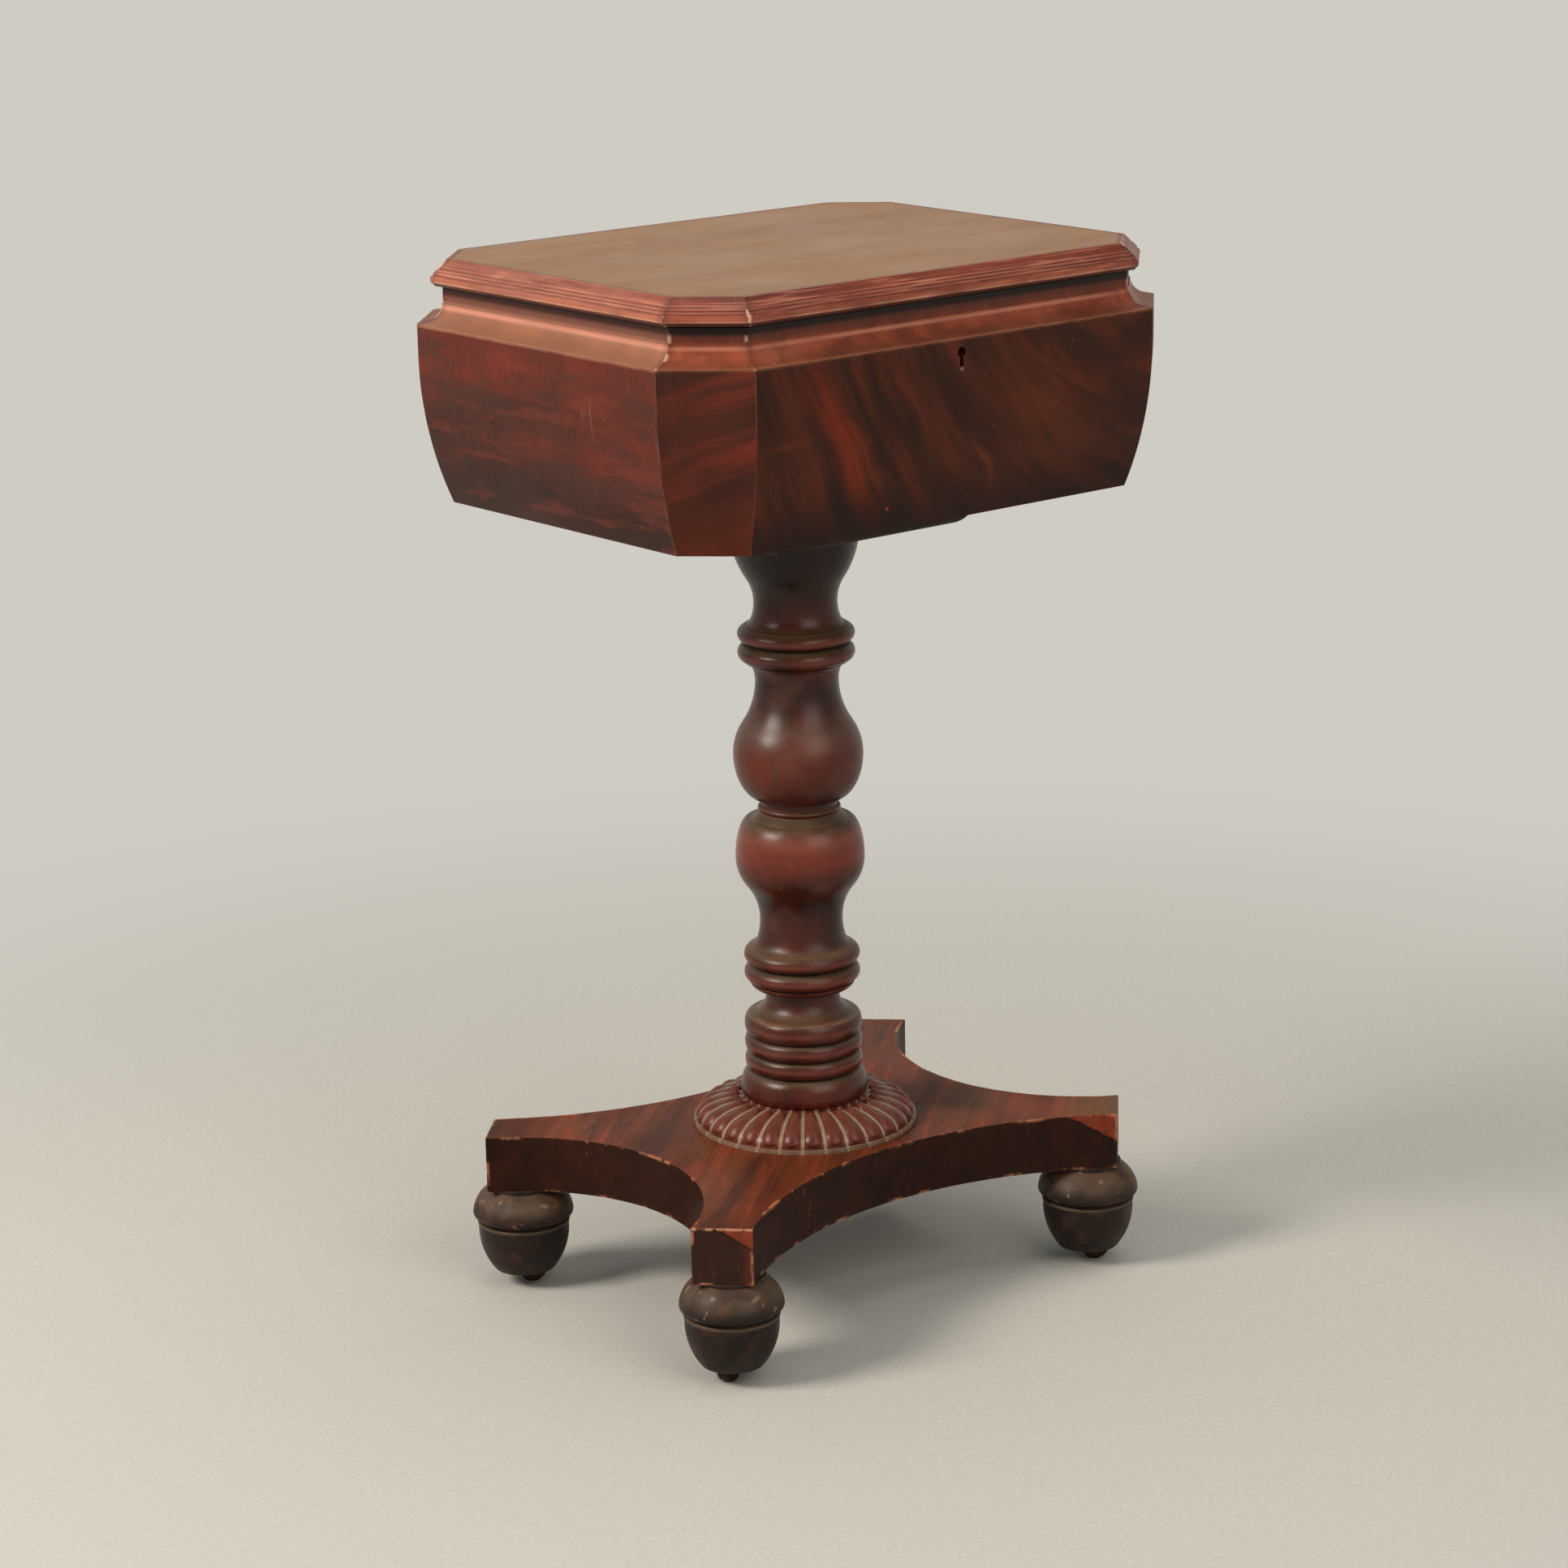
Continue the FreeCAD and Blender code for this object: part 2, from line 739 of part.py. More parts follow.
def caddy_knob():
    x, y = knob_place()
    neck = knob_radius / 2
    third = knob_height / 3
    outline = Outline(0, -caddy_lid_thickness).line(knob_spigot_radius, -caddy_lid_thickness)
    outline.line(knob_spigot_radius, 0).line(knob_radius - knob_spigot_radius / 2, 0)
    outline.quarter(neck, third, False).line(neck, third + neck / 2)
    outline.quarter(knob_radius, 2 * third, False).quarter(0, knob_height, True)
    return moved(outline.turned(), x, y, fittings_top)


def bowl_places():
    """The bowls stand in the middle of the two halves of the front well."""
    x = (half_width + inner_offset) / 2
    y = (partition_place - half_depth - inner_offset) / 2
    return [(-x, y), (x, y)]


def bowl_board():
    corners = canted(inner_offset)
    half = half_width + inner_offset
    plan = [corners[0], corners[1], corners[2], (half, partition_place), (-half, partition_place), corners[7]]
    board = prism(plan, bowl_board_top - fitting_thickness, bowl_board_top)
    holes = [rod(bowl_radius + seat_gap, V(x, y, floor_top), V(x, y, fittings_top)) for x, y in bowl_places()]
    return cut_all(board, holes)


def bowl_board_ledges():
    half = half_width + inner_offset
    front = canted(inner_offset)[2][1]
    top = bowl_board_top - fitting_thickness
    ledge = block(half - ledge_size, half, front, partition_place, top - ledge_size, top)
    return [ledge, mirrored(ledge)]


def mixing_bowl(x, y):
    """A round glass bowl that hangs by its lip in the board."""
    outer = bowl_radius
    inner = outer - bowl_glass
    lip_top = bowl_lip_thickness
    foot = -bowl_depth
    base = foot + bowl_foot_height
    ring = bowl_foot_radius - bowl_glass
    outline = Outline(0, base).line(ring, base).line(ring, foot)
    outline.line(bowl_foot_radius, foot).line(bowl_foot_radius, base)
    outline.quarter(outer, 0, False).line(outer + bowl_lip, 0)
    outline.quarter(inner, lip_top, True)
    outline.line(inner, 0).quarter(0, base + bowl_glass, True)
    return moved(outline.turned(), x, y, bowl_board_top)


# Stand

def bearer_block():
    slab = block(-bearer_half, bearer_half, -bearer_half, bearer_half, column_top, box_bottom)
    lower = [edge for edge in slab.Edges if edge.BoundBox.ZMax < column_top + bearer_thickness / 2]
    slab = slab.makeFillet(bearer_ovolo, lower)
    socket = rod(upper_tenon_radius + glue_line, V(0, 0, column_top - overrun), V(0, 0, box_bottom + overrun))
    holes = [moved(bearer_screw_form(inlet_gap), x, y, column_top) for x, y in bearer_screw_places()]
    return cut_all(slab, [socket] + holes)


def bearer_screws():
    return [moved(bearer_screw_form(), x, y, column_top) for x, y in bearer_screw_places()]


def column():
    level = {name: collar_top + column_length * share for name, share in column_level_shares}
    turning = Outline(0, platform_bottom).line(lower_tenon_radius, platform_bottom)
    turning.line(lower_tenon_radius, collar_top).line(seat_radius, collar_top)
    turning.quarter(swelling_radius, level["swelling"], False).quarter(ring_root_radius, level["rings"], True)
    for name in ("ring_2", "ring_3", "ring_top"):
        turning.bead(ring_radius, ring_root_radius, level[name])
    turning.quarter(cove_radius, level["cove"], False).line(cove_radius, level["cove_top"])
    turning.quarter(cove_lip_radius, level["lower_pair"], False)
    ring_pair(turning, level, "lower_pair")
    turning.quarter(neck_radius, level["lower_neck"], False)
    turning.ogee(bulb_radius, level["bulb"], 1 - bulb_ogee_share)
    turning.quarter(pair_shoulder_radius, level["bulb_shoulder"], True)
    turning.line(pair_shoulder_radius - bulb_step, level["bulb_shoulder"]).line(waist_radius, level["waist"])
    turning.bead(waist_bead_radius, waist_radius, level["waist_bead"]).line(waist_radius, level["waist_top"])
    turning.quarter(belly_radius, level["belly"], False)
    turning.ogee(neck_radius, level["middle_neck"], belly_ogee_share)
    turning.quarter(pair_shoulder_radius, level["upper_pair"], True)
    ring_pair(turning, level, "upper_pair")
    turning.quarter(neck_radius, level["upper_neck"], False)
    turning.ogee(flare_radius, column_top, flare_ogee_share)
    turning.line(upper_tenon_radius, column_top).line(upper_tenon_radius, box_bottom).line(0, box_bottom)
    return turning.turned()


def ring_pair(turning, level, name):
    """Two half-round rings with a groove between them, and a shoulder above."""
    turning.line(pair_root_radius, level[name])
    for end in (level[name + "_groove"], level[name + "_top"]):
        turning.bead(pair_radius, pair_root_radius, end)
    turning.line(pair_shoulder_radius, level[name + "_top"])


def gadrooned_collar():
    """A domed ring under the column, with lobes fused on all round."""
    bore = lower_tenon_radius + glue_line
    seat = seat_radius + collar_seat_margin
    crest = collar_radius - collar_rim_width
    rim_top = platform_top + collar_rim_height
    ring = Outline(bore, platform_top).line(collar_radius, platform_top).line(collar_radius, rim_top)
    ring.line(crest - lobe_height, rim_top).quarter(seat, collar_top - lobe_height, True)
    ring.line(seat, collar_top).line(bore, collar_top)
    first = lobe(seat, crest - seat, rim_top, collar_top - rim_top)
    pitch = 360 / lobe_count
    return ring.turned().fuse([turned_about_z(first, lobe_turn_angle + pitch * n) for n in range(lobe_count)])


def lobe(seat, reach, rim_top, rise):
    """One gadroon, lofted through arched sections that stand square to the dome's outline."""
    sections = []
    for place, width_share, height_share in lobe_shares:
        angle = math.radians(lobe_first_angle + (lobe_last_angle - lobe_first_angle) * place)
        radius = seat + reach * math.cos(angle)
        outward = V(rise * math.cos(angle), 0, reach * math.sin(angle)).normalize()
        crest = V(radius, 0, rim_top + rise * math.sin(angle)) - outward * lobe_height * (1 - height_share)
        half = V(0, width_share * math.pi * radius / lobe_count, 0)
        root = crest - outward * (lobe_height * height_share + lobe_root)
        arch = Part.Arc(root - half, crest, root + half).toShape()
        sections.append(Part.Wire([arch, Part.makeLine(root + half, root - half)]))
    return Part.makeLoft(sections, True)


def platform():
    a, b, leg = platform_half_width, platform_half_depth, platform_cant_leg
    ends = [(leg - a, -b), (a - leg, -b), (a, leg - b), (a, b - leg),
            (a - leg, b), (leg - a, b), (-a, b - leg), (-a, leg - b)]
    hollows = {0: (0, front_bay_depth - b), 2: (a - side_bay_depth, 0),
               4: (0, b - front_bay_depth), 6: (side_bay_depth - a, 0)}
    edges = []
    for n, (x, y) in enumerate(ends):
        start = V(x, y, platform_bottom)
        end = V(*ends[(n + 1) % len(ends)], platform_bottom)
        if n in hollows:
            edges.append(Part.Arc(start, V(*hollows[n], platform_bottom), end).toShape())
        else:
            edges.append(Part.makeLine(start, end))
    slab = Part.Face(Part.Wire(edges)).extrude(UP * platform_thickness)
    below = platform_bottom - overrun
    holes = [rod(lower_tenon_radius + glue_line, V(0, 0, below), V(0, 0, platform_top + overrun))]
    depth = platform_bottom + dowel_length + seat_gap
    for x, y in foot_places().values():
        holes.append(rod(dowel_radius + glue_line, V(x, y, below), V(x, y, depth)))
    return cut_all(slab, holes)


# Feet and castors

well_top = foot_lift + castor_well_depth
plate_bottom = well_top - castor_plate_thickness
crown_top = plate_bottom - seat_gap
crown_bottom = crown_top - castor_crown_thickness
cheek_inner = wheel_width / 2 + seat_gap


def foot_places():
    return {name: (x * foot_place_x, y * foot_place_y) for name, (x, y) in CORNERS.items()}


def foot_form():
    """A turned saucer over a round cup, with a dowel above and a well for the castor below."""
    top = platform_bottom
    saucer = top - saucer_height
    groove = saucer - groove_drop
    turning = Outline(0, well_top).line(castor_well_radius, well_top).line(castor_well_radius, foot_lift)
    turning.line(cup_sole_radius, foot_lift)
    shoulder = groove - cup_bead
    swell = foot_lift + (shoulder - foot_lift) * cup_swell_share
    turning.arc(cup_swell_radius, swell, cup_radius, shoulder)
    turning.bead(cup_radius + cup_bead / 3, cup_radius, groove).line(groove_radius, groove)
    turning.line(groove_radius, groove + cup_groove).line(saucer_radius - cup_groove, groove + cup_groove)
    turning.quarter(saucer_radius, saucer, False)
    middle = (saucer_radius + foot_neck_radius) / 2 + foot_fillet
    turning.arc(middle, (saucer + top) / 2, foot_neck_radius, top - foot_fillet).line(foot_neck_radius, top)
    turning.line(dowel_radius, top).line(dowel_radius, top + dowel_length).line(0, top + dowel_length)
    return turning.turned()


def stem_hole():
    top = crown_top + castor_stem_length + seat_gap
    return rod(castor_stem_radius + seat_gap, V(0, 0, crown_top - overrun), V(0, 0, top))


def castor_screw_places():
    return [turned_about_z(Part.Vertex(castor_screw_place, 0, 0), 120 * n).Point for n in range(3)]


def castor_screw_form(gap=0.0):
    return upside_down(fitting_screw(gap, castor_screw_length))


def foot():
    holes = [moved(castor_screw_form(inlet_gap), p.x, p.y, plate_bottom) for p in castor_screw_places()]
    return cut_all(foot_form(), [stem_hole()] + holes)


def castor_plate():
    plate = rod(castor_plate_radius, V(0, 0, plate_bottom), V(0, 0, well_top))
    bore = rod(castor_stem_radius + running_fit, V(0, 0, plate_bottom - overrun), V(0, 0, well_top + overrun))
    holes = [moved(castor_screw_form(inlet_gap), p.x, p.y, plate_bottom) for p in castor_screw_places()]
    return cut_all(plate, [bore] + holes)


def castor_horn():
    """Stem, crown and two cheeks, with the axle riveted through them. It trails towards +x."""
    horn = rod(castor_stem_radius, V(0, 0, crown_bottom), V(0, 0, crown_top + castor_stem_length))
    horn = horn.fuse(rod(castor_crown_radius, V(0, 0, crown_bottom), V(0, 0, crown_top)))
    outer = cheek_inner + cheek_thickness
    axle = V(castor_trail, 0, wheel_radius)
    for side in (-1, 1):
        y0, y1 = sorted((side * cheek_inner, side * outer))
        plan = [(-castor_crown_radius / 2, crown_top), (castor_crown_radius, crown_top),
                (castor_trail + cheek_boss_radius, wheel_radius),
                (castor_trail - cheek_boss_radius, wheel_radius)]
        cheek = Outline(*plan[0])
        for corner in plan[1:]:
            cheek.line(*corner)
        horn = horn.fuse(moved(cheek.face().extrude(V(0, y1 - y0, 0)), 0, y0))
        horn = horn.fuse(rod(cheek_boss_radius, axle + V(0, y0, 0), axle + V(0, y1, 0)))
    reach = V(0, outer + axle_head, 0)
    return horn.fuse(rod(axle_radius, axle - reach, axle + reach)).removeSplitter()


def castor_wheel():
    half = wheel_width / 2
    bore = axle_radius + running_fit
    shoulder = half - wheel_round
    face = wheel_radius - wheel_round
    rim = Outline(bore, -half).line(face, -half).quarter(wheel_radius, -shoulder, False)
    rim.line(wheel_radius, shoulder).quarter(face, half, True).line(bore, half)
    wheel = rim.turned()
    wheel.rotate(V(0, 0, 0), V(1, 0, 0), 90)
    return moved(wheel, castor_trail, 0, wheel_radius)


# Assembly

def parts():
    made = {"lid_panel": [lid_panel()], "lid_lining": [lid_lining()], "lid_hinge_leaves": hinge_leaves(True),
            "lid_link_plate": [link_plate()], "lid_screws": lid_screws()}
    for side in SIDES[::2]:
        made["lid_moulding_" + side] = [lid_moulding(side)]
        made["neck_moulding_" + side] = [neck_moulding(side)]
        made["wall_" + side] = [wall(side)]
    made["lid_corner_mouldings"] = [lid_moulding(side) for side in SIDES[1::2]]
    made["neck_corner_mouldings"] = [neck_moulding(side) for side in SIDES[1::2]]
    made["corner_staves"] = [wall(side) for side in SIDES[1::2]]
    made["bottom_board"] = [bottom_board()]
    made["box_hinge_leaves"] = hinge_leaves(False)
    made["hinge_pins"] = hinge_pins()
    made["lock_case"] = [lock_case()]
    made["lock_bolt"] = [lock_bolt()]
    made["box_screws"] = box_screws()
    made["cross_partition"] = [cross_partition()]
    made["caddy_divider"] = [caddy_divider()]
    made["bowl_board"] = [bowl_board()]
    made["bowl_board_ledges"] = bowl_board_ledges()
    made["caddy_hinge_pins"] = caddy_pins() + [mirrored(pin) for pin in caddy_pins()]
    for name, form in (("case", caddy_case()), ("lid", caddy_lid()), ("knob", caddy_knob())):
        made["caddy_" + name + "_right"] = [form]
        made["caddy_" + name + "_left"] = [mirrored(form)]
    for side, place in zip(("left", "right"), bowl_places()):
        made["mixing_bowl_" + side] = [mixing_bowl(*place)]
    made["bearer_block"] = [bearer_block()]
    made["bearer_screws"] = bearer_screws()
    made["column"] = [column()]
    made["gadrooned_collar"] = [gadrooned_collar()]
    made["platform"] = [platform()]
    plates, screws = [], []
    for name, (x, y) in foot_places().items():
        made["foot_" + name] = [moved(foot(), x, y)]
        angle = castor_angles[name]
        made["castor_horn_" + name] = [moved(turned_about_z(castor_horn(), angle), x, y)]
        made["castor_wheel_" + name] = [moved(turned_about_z(castor_wheel(), angle), x, y)]
        plates.append(moved(castor_plate(), x, y))
        screws += [moved(castor_screw_form(), x + p.x, y + p.y, plate_bottom) for p in castor_screw_places()]
    made["castor_plates"] = plates
    made["castor_screws"] = screws
    return made


os.makedirs("parts", exist_ok=True)
for node, solids in parts().items():
    shape = solids[0] if len(solids) == 1 else Part.makeCompound(solids)
    shape.exportStep("parts/" + node + ".step")
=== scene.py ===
import math

import bpy
from mathutils import Matrix, Vector


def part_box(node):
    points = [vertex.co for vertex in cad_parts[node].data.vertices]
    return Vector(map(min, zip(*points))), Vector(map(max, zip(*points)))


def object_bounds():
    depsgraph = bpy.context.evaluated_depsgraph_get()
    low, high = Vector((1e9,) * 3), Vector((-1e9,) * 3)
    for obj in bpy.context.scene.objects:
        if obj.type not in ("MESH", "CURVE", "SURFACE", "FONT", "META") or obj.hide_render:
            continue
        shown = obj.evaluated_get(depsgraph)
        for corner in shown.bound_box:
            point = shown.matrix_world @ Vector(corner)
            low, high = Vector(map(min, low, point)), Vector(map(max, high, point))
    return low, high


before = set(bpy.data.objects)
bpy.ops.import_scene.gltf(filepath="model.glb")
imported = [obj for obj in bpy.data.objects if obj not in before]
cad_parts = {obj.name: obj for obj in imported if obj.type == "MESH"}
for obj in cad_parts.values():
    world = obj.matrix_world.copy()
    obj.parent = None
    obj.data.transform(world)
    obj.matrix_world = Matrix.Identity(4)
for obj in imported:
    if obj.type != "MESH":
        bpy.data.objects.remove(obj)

cad_low, cad_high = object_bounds()

# The camera's place, fitted to the photograph: metres and degrees
camera_azimuth = -39.121
camera_pitch = 15.2
camera_roll = -1.142
camera_distance = 2.905
camera_height = 1.157
camera_sideways = -0.0105
camera_lens_mm = 97.4
sensor_mm = 36.0

# Levels and places of the object that finishes follow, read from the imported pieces
floor_level = cad_low.z
lid_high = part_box("lid_panel")[1]
nose_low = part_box("lid_moulding_front")[0].z
neck_low, neck_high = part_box("neck_moulding_front")[0].z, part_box("neck_moulding_front")[1].z
wall_low, wall_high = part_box("wall_front")
side_low, side_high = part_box("wall_left")
platform_low, platform_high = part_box("platform")
collar_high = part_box("gadrooned_collar")[1]
column_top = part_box("bearer_block")[0].z

# Measures that the boxes don't give, in metres: what a cant takes off each side of the lid's board, how far the
# hollows between the reeds lie below its top, and the levels of the neck moulding's lip, the keyhole's lower end and
# the bead on each foot
lid_leg = 0.0324
reed_drops = (0.0063, 0.0083, 0.0104)
lip_level = neck_high - 0.0107
keyhole_end = neck_high - 0.0431
bead_level = platform_low.z - 0.0290

# The collar's carving: thirty lobes, with the first groove turned a little from the X axis
lobe_count = 30
first_groove_degrees = 1.1

# A mitre at a canted corner halves the angle of 135 degrees between the two sides
mitre_lean = math.cos(math.radians(67.5))
mitre_rise = math.sin(math.radians(67.5))

# Painted light on two corners of the platform's sides, where the chest's shadow leaves them lit. On the cant nearest
# the camera x + y gives the face and x - y runs along it. On the right end the lit patch deepens with x, and runs out
# from the front edge towards the back.
near_cant_face = -0.3178
near_cant_start = -0.0568
near_light_slope = 0.39
right_end_start = 0.141
right_end_front = -0.1487
right_end_fade = (-0.10, -0.11)
right_light_depth = 0.020
right_light_slopes = (0.68, -0.9)

# The refraction of wax and polish, and how much light the veneers still mirror
polish_ior = 1.5
veneer_mirror = 0.13


def paint(red, green, blue):
    """A colour as a painter reads it off, 0 to 255, made linear for the shader."""
    def linear(level):
        level = level / 255
        return level / 12.92 if level <= 0.04045 else ((level + 0.055) / 1.055) ** 2.4
    return (linear(red), linear(green), linear(blue), 1)


def along_column(share):
    """A level on the column, given as a share of its height from the collar up to the bearer."""
    return collar_high.z + share * (column_top - collar_high.z)


# Node trees

class Sheet:
    """One node tree on which nodes are placed and joined."""

    def __init__(self, tree):
        self.tree = tree

    def join(self, value, socket):
        if isinstance(value, bpy.types.NodeSocket):
            self.tree.links.new(value, socket)
        else:
            socket.default_value = value

    def put(self, kind, joins=None, **settings):
        node = self.tree.nodes.new(kind)
        for name, value in settings.items():
            setattr(node, name, value)
        for name, value in (joins or {}).items():
            self.join(value, node.inputs[name])
        return node

    def effect(self, group, **joins):
        """Places a shared effect and gives its outputs."""
        return self.put("ShaderNodeGroup", joins, node_tree=group).outputs

    def noise(self, vector, scale, detail=2.0, distortion=0.0, roughness=0.5):
        return self.put("ShaderNodeTexNoise", {"Vector": vector, "Scale": scale, "Detail": detail,
                                               "Distortion": distortion, "Roughness": roughness}).outputs["Fac"]

    def maths(self, operation, *values):
        return self.put("ShaderNodeMath", dict(enumerate(values)), operation=operation).outputs[0]

    def times(self, *values):
        result = values[0]
        for value in values[1:]:
            result = self.maths("MULTIPLY", result, value)
        return result

    def plus(self, *values):
        result = values[0]
        for value in values[1:]:
            result = self.maths("ADD", result, value)
        return result

    def spread(self, value, low, high, to_low=0.0, to_high=1.0):
        """Maps a value smoothly from low..high to to_low..to_high and holds it there."""
        return self.put("ShaderNodeMapRange", {"Value": value, "From Min": low, "From Max": high, "To Min": to_low,
                                               "To Max": to_high}, interpolation_type="SMOOTHSTEP").outputs["Result"]

    def near(self, value, middle, reach):
        """1 where the value is at the middle, falling smoothly to 0 at the reach."""
        return self.spread(self.maths("ABSOLUTE", self.maths("SUBTRACT", value, middle)), reach, 0.0)

    def stretch(self, vector, scale, turn=(0, 0, 0), shift=(0, 0, 0)):
        return self.put("ShaderNodeMapping", {"Vector": vector, "Scale": scale, "Location": shift,
                                              "Rotation": tuple(math.radians(a) for a in turn)}).outputs["Vector"]

    def parts(self, vector):
        return tuple(self.put("ShaderNodeSeparateXYZ", {"Vector": vector}).outputs)

    def vector(self, x, y, z):
        return self.put("ShaderNodeCombineXYZ", {"X": x, "Y": y, "Z": z}).outputs[0]

    def blend(self, amount, under, over):
        node = self.put("ShaderNodeMix", data_type="RGBA")
        for number, value in ((0, amount), (6, under), (7, over)):
            self.join(value, node.inputs[number])
        return node.outputs[2]

    def ramp(self, value, stops):
        node = self.put("ShaderNodeValToRGB", {"Fac": value})
        band = node.color_ramp
        while len(band.elements) < len(stops):
            band.elements.new(0.5)
        for element, (place, colour) in zip(band.elements, stops):
            element.position = place
            element.color = colour
        return node.outputs["Color"]


def effect(name, inputs, outputs, fill):
    """A shader node group that several finishes share."""
    group = bpy.data.node_groups.new(name, "ShaderNodeTree")
    for title, kind, start in inputs:
        socket = group.interface.new_socket(title, in_out="INPUT", socket_type="NodeSocket" + kind)
        if start is not None:
            socket.default_value = start
    for title in outputs:
        group.interface.new_socket(title, in_out="OUTPUT", socket_type="NodeSocketFloat")
    sheet = Sheet(group)
    given = group.nodes.new("NodeGroupInput").outputs
    out = group.nodes.new("NodeGroupOutput")
    for title, result in zip(outputs, fill(sheet, given)):
        group.links.new(result, out.inputs[title])
    return group


def timber(sheet, given):
    """Mahogany with its grain along x: broad ribbons, fine fibres and the short dark pores."""
    ribbons = sheet.noise(sheet.stretch(given["Vector"], (3, 26, 26)), 1.0, 3.0, 0.6)
    fibres = sheet.noise(sheet.stretch(given["Vector"], (12, 420, 420)), 1.0, 3.0, 0.2, 0.6)
    pores = sheet.noise(sheet.stretch(given["Vector"], (90, 900, 900)), 1.0, 1.0)
    return ribbons, sheet.spread(fibres, 0.3, 0.7), sheet.spread(pores, 0.60, 0.72)


def flame(sheet, given):
    """Figure of crotch veneer: streaks that bend round a centre, broad ones and the fine ones that fray them."""
    across, up, deep = sheet.parts(given["Vector"])
    flat = sheet.vector(across, up, 0.0)
    out = sheet.put("ShaderNodeVectorMath", {0: flat}, operation="LENGTH").outputs["Value"]
    run = sheet.times(sheet.maths("ARCTAN2", up, across), given["Radius"])
    drift = sheet.noise(given["Vector"], 9.0, 2.0)
    out = sheet.plus(out, sheet.times(sheet.maths("SUBTRACT", drift, 0.5), 0.024))
    bent = sheet.vector(run, out, deep)
    broad = sheet.noise(sheet.stretch(bent, (6, 30, 12)), 1.0, 2.0, 0.2)
    frayed = sheet.noise(sheet.stretch(bent, (16, 150, 60)), 1.0, 4.0, 0.2, 0.62)
    fine = sheet.noise(sheet.stretch(bent, (40, 620, 200)), 1.0, 2.0)
    both = sheet.plus(sheet.times(broad, 0.64), sheet.times(frayed, 0.26), sheet.times(fine, 0.10))
    return sheet.spread(both, 0.32, 0.68), sheet.spread(frayed, 0.30, 0.60, 0.35, 1.0)


def rubbed_edges(sheet, given):
    """Where corners have lost their polish: the rounded normal leaves the true one near an edge."""
    rounded = sheet.put("ShaderNodeBevel", {"Radius": given["Reach"]}, samples=4).outputs["Normal"]
    flat = sheet.put("ShaderNodeNewGeometry").outputs["Normal"]
    facing = sheet.put("ShaderNodeVectorMath", {0: rounded, 1: flat}, operation="DOT_PRODUCT").outputs["Value"]
    edge = sheet.spread(facing, 0.995, 0.86)
    sparse = given["Sparse"]
    patches = sheet.spread(sheet.noise(given["Vector"], 55.0, 3.0, 0.0, 0.65),
                           sheet.plus(sheet.times(sparse, 0.19), 0.36), sheet.plus(sheet.times(sparse, 0.04), 0.62))
    return (sheet.times(edge, patches, given["Amount"]),)


def dirt_and_painted_shade(sheet, given):
    """Wax and dirt that gather where surfaces meet, and painted shade in the same hollows."""
    open_sky = sheet.put("ShaderNodeAmbientOcclusion", {"Distance": given["Depth"]}, samples=8,
                         only_local=True).outputs["AO"]
    hidden = sheet.spread(open_sky, 0.72, 0.30)
    patches = sheet.spread(sheet.noise(given["Vector"], 90.0, 2.0), 0.25, 0.6, 0.55, 1.0)
    return (sheet.times(hidden, patches, given["Amount"]),)


def lying_dust(sheet, given):
    """Dust and old wax on all that faces up, thinner where a cloth reaches."""
    upward = sheet.parts(sheet.put("ShaderNodeTexCoord").outputs["Normal"])[2]
    level = sheet.spread(upward, given["From"], sheet.plus(given["From"], 0.5))
    patches = sheet.spread(sheet.noise(given["Vector"], 70.0, 3.0), 0.3, 0.6, 0.6, 1.0)
    return (sheet.times(level, patches, given["Amount"]),)


def knocks(sheet, given):
    """Scratches and small dents of long use: a mask for their pale look and a height for their hollow."""
    line = sheet.noise(sheet.stretch(given["Vector"], (9, 9, 2.2), turn=(20, 35, 15)), 22.0, 1.0, 1.2)
    thin = sheet.maths("ABSOLUTE", sheet.maths("SUBTRACT", line, 0.5))
    scratch = sheet.spread(thin, 0.004, 0.0005)
    where = sheet.spread(sheet.noise(given["Vector"], 16.0, 1.0), 0.58, 0.70)
    dent = sheet.put("ShaderNodeTexVoronoi", {"Vector": given["Vector"], "Scale": 46.0}).outputs["Distance"]
    dents = sheet.times(sheet.spread(dent, 0.12, 0.02), where)
    mask = sheet.times(scratch, where, given["Amount"])
    return mask, sheet.maths("SUBTRACT", 1.0, sheet.maths("MAXIMUM", mask, dents))


vector_in = ("Vector", "Vector", None)
timber_effect = effect("timber", [vector_in], ["Ribbons", "Fibres", "Pores"], timber)
flame_effect = effect("flame figure", [vector_in, ("Radius", "Float", 0.3)], ["Flame", "Fray"], flame)
edge_effect = effect("rubbed edges", [vector_in, ("Reach", "Float", 0.0015), ("Amount", "Float", 1.0),
                                      ("Sparse", "Float", 0.0)], ["Wear"], rubbed_edges)
dirt_and_shade_effect = effect("dirt and painted shade", [vector_in, ("Depth", "Float", 0.006), ("Amount", "Float", 1.0)],
                     ["Dirt"], dirt_and_painted_shade)
dust_effect = effect("lying dust", [vector_in, ("From", "Float", 0.3), ("Amount", "Float", 1.0)],
                     ["Dust"], lying_dust)
knock_effect = effect("knocks", [vector_in, ("Amount", "Float", 1.0)], ["Marks", "Height"], knocks)


# Tones

pore_tone = paint(24, 12, 8)
shade_tone = paint(20, 12, 9)
rubbed_tone = paint(168, 118, 92)
wax = paint(158, 139, 114)
dust_tone = paint(92, 82, 66)

# Turns that lay the grain along an axis of the frame, or aslant as on the platform
along_x = (0, 0, 0)
along_y = (0, 0, -90)
along_z = (0, 90, 0)
aslant = (0, 0, -40)


